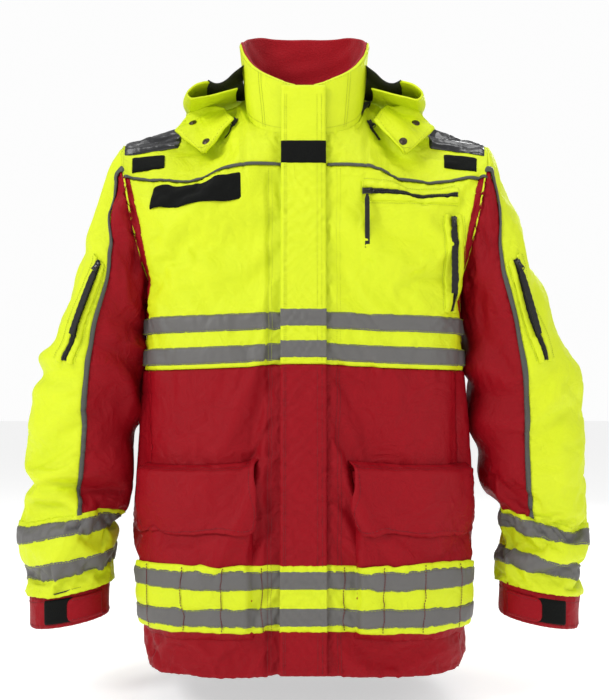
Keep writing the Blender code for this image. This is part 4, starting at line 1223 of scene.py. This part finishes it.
# ------------------------------------------------------------------ pockets
def build_pockets():
    inner = share_of(POCKET_X, 0.17)
    for number, (word, sign) in enumerate(SIDES):
        def pouch(u, v, off, sign=sign):
            height = mix(POCKET_H[0], POCKET_H[1], v)
            share = mix(inner, POCKET_END + 0.010, u)
            sag = 0.0016 * np.sin(np.pi * u) * rough(np.stack((u, v, 0 * u), -1), 0.9, 7 + sign)
            rise = pocket_rise(share, height)
            return body(share * sign, height, -1, off + rise + sag, 0.6 * rise / 0.0085)
        obj = cloth(f"pocket {word}", "red_shell", pouch, 0.19, 0.236, off=0.0026, thick=0.0016, cell=0.003,
                    tuck="lrb", pucker="lrb", seed=101 + number)
        settle(obj, "torso", [f"pocket_{word}"])

        def lid(u, v, off, sign=sign):
            low = POCKET_FLAP_H[0] + 0.012 * np.maximum(0, 1 - u / 0.10) ** 2
            height = mix(low, POCKET_FLAP_H[1], v)
            share = mix(share_of(POCKET_X - 0.005, 0.25), POCKET_END + 0.006, u)
            roll = smooth((POCKET_FLAP_H[1] + 0.002 - height) / 0.020)
            kick = 0.0022 * (1 - v) ** 2 + 0.0012 * np.sin(u * 7 + sign) * (1 - v)
            return body(share * sign, height, -1, off + 0.0040 + 0.0108 * roll + kick, 0.6 * roll)
        obj = cloth(f"pocket flap {word}", "red_shell", lid, 0.195, 0.107, thick=0.0026, cell=0.003, tuck="lrbt",
                    pucker="lrbt", seed=105 + number, gather=0.0006, fade=0.010)
        top = lid(np.array([0.5]), np.array([1.0]), np.array([0.0]))[0] - LOOP
        settle(obj, None, [f"pocket_flap_{word}"],
               across=("torso", f"pocket_flap_{word}", top, top - np.array((0, 0, 0.010))))
        rows = [stitches(f"lid {word} {a}{b}", "red_seam", lid, a, b, size, off=0.0002)
                for a, b, size in (((0.035, 0.06), (0.965, 0.06), 0.18), ((0.035, 0.06), (0.035, 0.9), 0.09),
                                   ((0.965, 0.06), (0.965, 0.9), 0.09), ((0.02, 0.90), (0.98, 0.90), 0.18),
                                   ((0.02, 0.94), (0.98, 0.94), 0.18))]
        obj = join(f"pocket flap stitching {word}", *rows)
        settle(obj, None, across=("torso", f"pocket_flap_{word}", top, top - np.array((0, 0, 0.010))))


# ------------------------------------------------------------------ patches
def build_patches():
    for number, (word, sign) in enumerate(SIDES):
        for side, node in ((-1, [f"shoulder_patch_{word}"]), (1, [])):
            def shoulder(u, v, off, side=side, sign=sign):
                share = mix(0.70, 0.985, u)
                _, top = neck_seam(share * SHOULDER_X, side)
                low = true_row(top - 0.027 - 0.004 * u, share, side)
                return body_rows(share * sign, mix(low, LAST_ROW, v), side, off + 0.0008 * rough(
                    np.stack((u * 0.1, v * 0.03, 0 * u), -1), 0.035, 4 + sign))
            name = f"shoulder patch {word}" + (" back" if side > 0 else "")
            obj = cloth(name, "shoulder_coating", shoulder, 0.085, 0.045, off=0.0030, thick=0.0014, cell=0.0022,
                        tuck="lrb", pucker="lrb", seed=111 + number, gather=0.0004)
            settle(obj, "torso", node)

        def loop(u, v, off, sign=sign):
            share = mix(0.77, 0.945, u)
            return body(share * sign, mix(0.743, 0.770, v) - (share - 0.86) * 0.12, -1, off)
        obj = cloth(f"shoulder loop patch {word}", "hook_and_loop", loop, 0.050, 0.025, off=0.0034, thick=0.0018,
                    cell=0.0014, tuck="lrbt")
        settle(obj, "torso", [f"shoulder_loop_{word}"])

    def name_tape(u, v, off):
        x = mix(-0.2225, -0.0915, u)
        height = 0.697 + (x + 0.157) * 0.085 + (v - 0.5) * 0.038
        wave = 0.0012 * np.sin(u * 19) + 0.0020 * smooth((u - 0.80) / 0.2) * np.sin(u * 30)
        return front(x, height + 0.0012 * np.sin(u * 13), off + wave)
    obj = cloth("name patch", "hook_and_loop", name_tape, 0.131, 0.038, off=0.0044, thick=0.0022, cell=0.0015,
                tuck="lrbt")
    settle(obj, "torso", ["name_patch"])


# ------------------------------------------------------------------ zips
def welted_zip(name, place, length, width, mover, node, shell, seam_look, sign=1, across=None):
    """A pocket slit: black tape at the bottom, coil down the middle, and a raised lip on each side."""
    obj = cloth(f"{name} tape", "zip_tape", lambda u, v, off: place(mix(-0.5, 0.5, u) * width * 0.95, v, off), width,
                length, off=0.0016, thick=0.0010, cell=0.0016)
    settle(obj, mover, [node])
    coil = zip_coil(f"{name} coil", lambda u, v, off: place((u - 0.5) * 0.010, v, off), length * 0.96, mover, off=0.0022)
    for edge in (-1, 1):
        def lip(u, v, off, edge=edge):
            swell = 0.0020 * np.sin(np.pi * np.clip(u, 0, 1)) ** 0.6
            ripple = 0.0004 * ribbing(v * length, 7 + edge)
            return place(edge * mix(width * 0.30, width * 0.30 + 0.0105, u) + ripple, mix(-0.02, 1.02, v), off + swell)
        obj = cloth(f"{name} lip {edge}", shell, lip, 0.0105, length, off=0.0012, thick=0.0012, cell=0.0016,
                    pucker="r", gather=0.0004, fade=0.006, seed=121 + edge)
        settle(obj, mover, [])
    rows = []
    for number, (edge, run) in enumerate(((-1, 0.0135), (1, 0.0135))):
        rows.append(stitches(f"{name} line {number}", seam_look, lambda u, v, off: place(
            edge * (width * 0.30 + run) + 0 * u, v, off), (0, 0), (0, 1), length, off=0.0010))
    settle(join(f"{name} stitching", *rows), mover)
    return coil


def build_zips():
    def centre_front(u, v, off):
        height = mix(0.02, 0.855, v)
        y = -(FRONT_DEPTH - LEAN * height) - 0.0004 - off
        return np.stack((mix(-0.0105, 0.0105, u), y + 0 * u, height + 0 * u), -1)
    obj = cloth("front zip tape", "zip_tape", centre_front, 0.021, 0.835, thick=0.0010, cell=0.004)
    settle(obj, "torso", ["front_zip"])
    zip_coil("front zip teeth", centre_front, 0.825, "torso", width=0.0060, pitch=0.0030, off=0.0004)
    low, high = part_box("front_slider")
    middle = np.array((low + high) / 2) + LOOP
    slider("front slider", middle + (0.0, 0.0025, 0.0), (1, 0, 0), (0, LEAN, 1), "front_slider", "front_slider",
           (0.010, 0.010, 0.0026))

    def chest_line(across, v, off):
        return front(mix(0.084, 0.225, v), 0.697 + across, off)
    welted_zip("chest zip", chest_line, 0.141, 0.0105, "torso", "chest_zip", "yellow_shell", "yellow_seam")
    side = np.array
    spot = chest_line(side([0.0]), side([0.045]), side([0.0065]))[0]
    slider("chest slider", spot, (0, 0, 1), (-1, 0.10, 0), "chest_slider", "chest_slider")
    pull("chest pull", spot + (0.0, -0.0022, -0.005), (0.0, -0.01, -1), (1, 0, 0), 0.080, 0.007, "chest_pull",
         "chest_pull")

    def side_line(across, v, off):
        return front(0.2175 + across, mix(0.525, 0.665, v), off)
    welted_zip("side zip", side_line, 0.140, 0.0100, "torso", "side_zip", "yellow_shell", "yellow_seam")
    spot = side_line(side([0.0]), side([0.93]), side([0.0062]))[0]
    slider("side slider", spot, (1, 0.4, 0), (0, 0, 1), "side_slider", "side_slider")
    pull("side pull", spot + (0.0, -0.0020, -0.0075), (0, 0, -1), (1, 0.4, 0), 0.100, 0.010, "side_pull", "side_pull")


# ------------------------------------------------------------------ sleeves
SPLIT = ((0.0, 0.2, 0.45, 0.75, 1.05, 1.6, 2.6, 6.0), (62.0, 53.0, 52.0, 68.0, 84.0, 91.0, 92.0, 110.0))


def split_angle(place):
    """Where the long seams lie: high at the shoulder, and drifting inwards towards the cuff."""
    return sum(np.interp(place + step, *SPLIT) for step in (-0.12, -0.04, 0.04, 0.12)) / 4


BLEND_START = np.array((0.262, -0.010, 0.690))
BLEND_WAY = np.array((0.93, 0.0, -0.37))


def sleeve_blend(word, sign):
    start = BLEND_START * (sign, 1, 1) - LOOP
    return ("torso", f"sleeve_{word}", start, start + BLEND_WAY * (sign, 1, 1) * 0.13)


def cuff(sign):
    def found(angle, share, off=0.0):
        outer = mix(np.array((0.4185, 0.0895)), np.array((0.4165, 0.045)), np.asarray(share)[..., None])
        inner = mix(np.array((0.2985, 0.1095)), np.array((0.2975, 0.063)), np.asarray(share)[..., None])
        middle, arm = (outer + inner) / 2, (outer - inner) / 2
        arm = arm * (1 + np.asarray(off) / 0.060)[..., None]
        turn = np.radians(angle)
        y = -0.044 - 0.002 * share - (0.0605 + off) * np.sin(turn)
        return np.stack((sign * (middle[..., 0] + arm[..., 0] * np.cos(turn)), y,
                         middle[..., 1] + arm[..., 1] * np.cos(turn)), -1)
    return found


def build_sleeve(word, sign):
    bend = sleeve_blend(word, sign)
    name = f"sleeve_{word}"

    def outer(u, v, off):
        place = mix(-0.35, 5.96, v)
        return sleeve(word, mix(-1.0, 1.0, u) * split_angle(place), place, off)
    obj = cloth(f"sleeve outer {word}", "yellow_shell", outer, 0.22, 0.57, tuck="lr", pucker="lrb", seed=131 + sign)
    settle(obj, None, [f"sleeve_outer_{word}"], across=bend)

    def inner(u, v, off):
        place = mix(-0.35, 5.96, v)
        split = split_angle(place)
        return sleeve(word, mix(split + 0.2, 359.8 - split, u), place, off)
    obj = cloth(f"sleeve inner {word}", "red_shell", inner, 0.20, 0.40, tuck="lr", pucker="lrb", seed=135 + sign,
                off=-0.0003, gather=0.0011)
    settle(obj, None, [f"sleeve_inner_{word}"], across=bend)

    for side in (-1, 1):
        def piping(u, v, off, side=side):
            place = mix(0.02, 5.95, v)
            angle = side * split_angle(place) + mix(-2.4, 2.4, u)
            return sleeve(word, angle, place, off)
        obj = cloth(f"sleeve piping {word} {'front' if side > 0 else 'back'}", "piping", piping, 0.0046, 0.50,
                    off=0.0016, thick=0.0018, cell=0.0016, relief=lambda u, v: 0.0010 * (1 - (2 * u - 1) ** 2))
        settle(obj, None, [], across=bend)

    def ground(u, v, off):
        return sleeve(word, u * 360, mix(5.93, 7.0, v), off)
    obj = cloth(f"sleeve band {word}", "yellow_shell", ground, 0.42, 0.125, off=0.0006, thick=0.0022, tuck="t",
                pucker="bt", seed=141 + sign, closed=True)
    settle(obj, name, [f"sleeve_band_{word}"])
    for number, (low, high) in enumerate(((6.00, 6.215), (6.46, 6.675))):
        def tape(u, v, off, low=low, high=high):
            return sleeve(word, u * 360, mix(low, high, v), off)
        obj = cloth(f"sleeve tape {word} {number + 1}", "reflective_tape", tape, 0.42, TAPE, off=0.0022,
                    thick=0.0012, cell=0.0025, tuck="bt", pucker="bt", seed=145 + number + sign, gather=0.0007,
                    closed=True)
        settle(obj, name, [])
        rows = []
        for edge in (low + 0.012, high - 0.012):
            rows.append(stitches(f"sleeve line {edge}", "yellow_seam", lambda u, v, off: sleeve(
                word, u * 360, edge + 0 * u, off), (0, 0), (1, 0), 0.42, off=0.0024))
        settle(join(f"sleeve tape stitching {word} {number + 1}", *rows), name)

    hand = cuff(sign)

    def cuff_cloth(u, v, off):
        angle = u * 360
        share = mix(-0.10, 1.0, v)
        fold = 0.0016 * rough(hand(angle, share) * (1, 1, 0.5), 0.05, 9 + sign)
        return hand(angle, share, off - 0.0012 + fold * smooth((1.05 - v) / 0.3))
    obj = cloth(f"cuff {word}", "red_shell", cuff_cloth, 0.38, 0.05, thick=0.0026, cell=0.0028, tuck="t", pucker="bt",
                seed=151 + sign, closed=True)
    settle(obj, name, [f"cuff_{word}"])

    def inside(u, v, off):
        near = sleeve(word, u * 360, mix(6.2, 6.98, v), off - 0.0045)
        return near
    obj = cloth(f"sleeve lining {word}", "black_lining", inside, 0.40, 0.10, thick=0.0012, cell=0.006, closed=True)
    settle(obj, name, [])

    def loop(u, v, off):
        low, high = (64.0, 106.0) if sign > 0 else (66.0, 108.0)
        return hand(mix(low, high, u), mix(0.10, 0.86, v), off + 0.0016)
    obj = cloth(f"cuff loop patch {word}", "hook_and_loop", loop, 0.045, 0.036, thick=0.0016, cell=0.0014, tuck="lrbt")
    settle(obj, name, [])

    def tab(u, v, off):
        round_end = 0.5 * (1 - np.sqrt(np.maximum(0, 1 - np.maximum(0, 1 - u / 0.22) ** 2)))
        share = 0.5 + (v - 0.5) * 0.76 * (1 - round_end * 0.9)
        return hand(mix(100.0, 152.0, u), share, off + 0.0036 + 0.0010 * np.sin(np.pi * u))
    obj = cloth(f"cuff tab {word}", "red_shell", tab, 0.055, 0.036, thick=0.0022, cell=0.0018, tuck="lbt",
                pucker="lbt", seed=155 + sign, gather=0.0004, fade=0.006)
    settle(obj, f"cuff_tab_{word}", [f"cuff_tab_{word}"])
    rows = [stitches(f"cuff tab line {a}{b}", "red_seam", tab, a, b, size, off=0.0002)
            for a, b, size in (((0.12, 0.10), (0.95, 0.10), 0.045), ((0.12, 0.90), (0.95, 0.90), 0.045),
                               ((0.95, 0.1), (0.95, 0.9), 0.03))]
    settle(join(f"cuff tab stitching {word}", *rows), f"cuff_tab_{word}")
    rows = [stitches(f"cuff line {share}", "red_seam", lambda u, v, off: cuff_cloth(u, share + 0 * u, off), (0, 0),
                     (1, 0), 0.38, off=0.0003) for share in (0.90, 0.22)]
    settle(join(f"cuff stitching {word}", *rows), name)

    def zip_line(across, v, off):
        place = mix(1.6, 3.5, v)
        return sleeve(word, 74.5 - across / 0.0016, place, off)
    welted_zip(f"sleeve zip {word}", zip_line, 0.165, 0.0125, name, f"sleeve_zip_{word}", "yellow_shell", "yellow_seam")
    one = np.array
    spot = zip_line(one([0.0]), one([0.06]), one([0.0062]))[0]
    ahead = zip_line(one([0.0]), one([0.12]), one([0.0062]))[0]
    beside = zip_line(one([0.004]), one([0.06]), one([0.0062]))[0]
    slider(f"sleeve slider {word}", spot, beside - spot, spot - ahead, f"sleeve_slider_{word}",
           f"sleeve_slider_{word}")
    far = zip_line(one([0.0]), one([0.70]), one([0.0085]))[0]
    down = unit(far - spot)
    pull(f"sleeve pull {word}", spot + down * 0.0078 + (0, -0.002, 0), down, beside - spot, 0.100, 0.009,
         f"sleeve_pull_{word}", f"sleeve_pull_{word}")


def build_hood_zips():
    """Ends of the zip that joins the hood to the collar, each with its slider beside the tab."""
    one = np.array
    for word, sign in SIDES:
        def line(u, v, off, sign=sign):
            x = mix(0.120, 0.0985, v) + (u - 0.5) * 0.004
            height = mix(0.806, 0.834, v) + (u - 0.5) * 0.003
            return front(x * sign, height, off)
        obj = cloth(f"hood zip {word}", "zip_tape", line, 0.0045, 0.036, off=0.0022, thick=0.0012, cell=0.0014)
        settle(obj, "torso", [])
        spot = line(one([0.5]), one([0.80]), one([0.0045]))[0]
        slider(f"hood zip slider {word}", spot, (1, 0, 0.8 * sign), (-0.6 * sign, 0, 1), "torso", None,
               (0.007, 0.011, 0.0036))
        pull_top = spot + (0.0, -0.0015, -0.004)
        pull(f"hood zip pull {word}", pull_top, (0.0, -0.1, -1), (1, 0, 0), 0.017, 0.005, "torso", None)


def build_loop():
    """The loop inside the back of the collar that the coat hangs from."""
    def cord(u, v, off):
        x = mix(-0.036, 0.036, u)
        y = 0.0562 + 0.0075 * smooth((np.abs(x) - 0.024) / 0.012)
        turn = v * 2 * math.pi
        r = 0.0021 + off + 0.0002 * np.sin(u * 150 + turn * 2)
        return np.stack((x, y + r * np.cos(turn), 0.897 + r * np.sin(turn)), -1)
    u, v = np.meshgrid(np.linspace(0, 1, 60), np.linspace(0, 1, 13)[:-1], indexing="ij")
    points = cord(u, v, 0.0).reshape(-1, 3)
    faces = grid_faces(60, 12, closed=True)
    faces += [tuple(range(12))[::-1], tuple(59 * 12 + i for i in range(12))]
    obj = new_piece("hanger loop", points, faces, "black_webbing", np.stack((u, v * 0.013), -1).reshape(-1, 2))
    settle(obj, "torso", ["hanger_loop"])


build_body()
build_bands()
build_flap()
build_collar()
build_tabs()
build_pockets()
build_patches()
build_zips()
for side_word, side_sign in SIDES:
    build_sleeve(side_word, side_sign)
build_hood_zips()
build_loop()


# ------------------------------------------------------------------ floor, light and camera
def build_stage():
    bpy.ops.mesh.primitive_plane_add(size=40, location=(0, 0, HEM_Z - 0.06))
    floor = bpy.context.object
    floor.name = "floor"
    material = bpy.data.materials.new("pale floor")
    material.use_nodes = True
    material.node_tree.nodes["Principled BSDF"].inputs["Base Color"].default_value = (0.80, 0.80, 0.80, 1)
    material.node_tree.nodes["Principled BSDF"].inputs["Emission Color"].default_value = (1.0, 1.0, 1.0, 1)
    material.node_tree.nodes["Principled BSDF"].inputs["Emission Strength"].default_value = 0.50
    material.node_tree.nodes["Principled BSDF"].inputs["Roughness"].default_value = 0.9
    floor.data.materials.append(material)
    world = bpy.data.worlds.new("studio")
    bpy.context.scene.world = world
    world.use_nodes = True
    seen = add(world.node_tree, "ShaderNodeLightPath").outputs["Is Camera Ray"]
    glow = maths(world.node_tree, "ADD", 0.48, maths(world.node_tree, "MULTIPLY", seen, 0.50))
    world.node_tree.links.new(glow, world.node_tree.nodes["Background"].inputs["Strength"])
    world.node_tree.nodes["Background"].inputs["Color"].default_value = (1.0, 1.0, 1.0, 1)
    target = Vector((0, MIDDLE_Y, HEM_Z + 0.5))
    for name, spot, size, energy in (("key", (-1.7, -1.5, 0.9), 0.8, 30.0), ("fill", (1.8, -1.3, 0.3), 1.2, 9.0),
                                     ("top", (0.2, -0.2, 1.7), 1.0, 13.0), ("rim", (1.0, 1.6, 0.8), 1.0, 18.0)):
        light = bpy.data.lights.new(name, "AREA")
        light.energy = energy
        light.size = size
        obj = bpy.data.objects.new(name, light)
        obj.location = spot
        obj.rotation_euler = (target - Vector(spot)).to_track_quat("-Z", "Y").to_euler()
        bpy.context.scene.collection.objects.link(obj)
    camera = bpy.data.objects.new("camera", bpy.data.cameras.new("camera"))
    camera.location = (0, MIDDLE_Y - 1.45, HEM_Z + 0.383)
    camera.rotation_euler = (math.radians(93.3), 0, 0)
    camera.data.lens = 46.6
    camera.data.sensor_width = 36
    bpy.context.scene.collection.objects.link(camera)
    bpy.context.scene.camera = camera
    bpy.context.scene.view_settings.view_transform = "Standard"


build_stage()
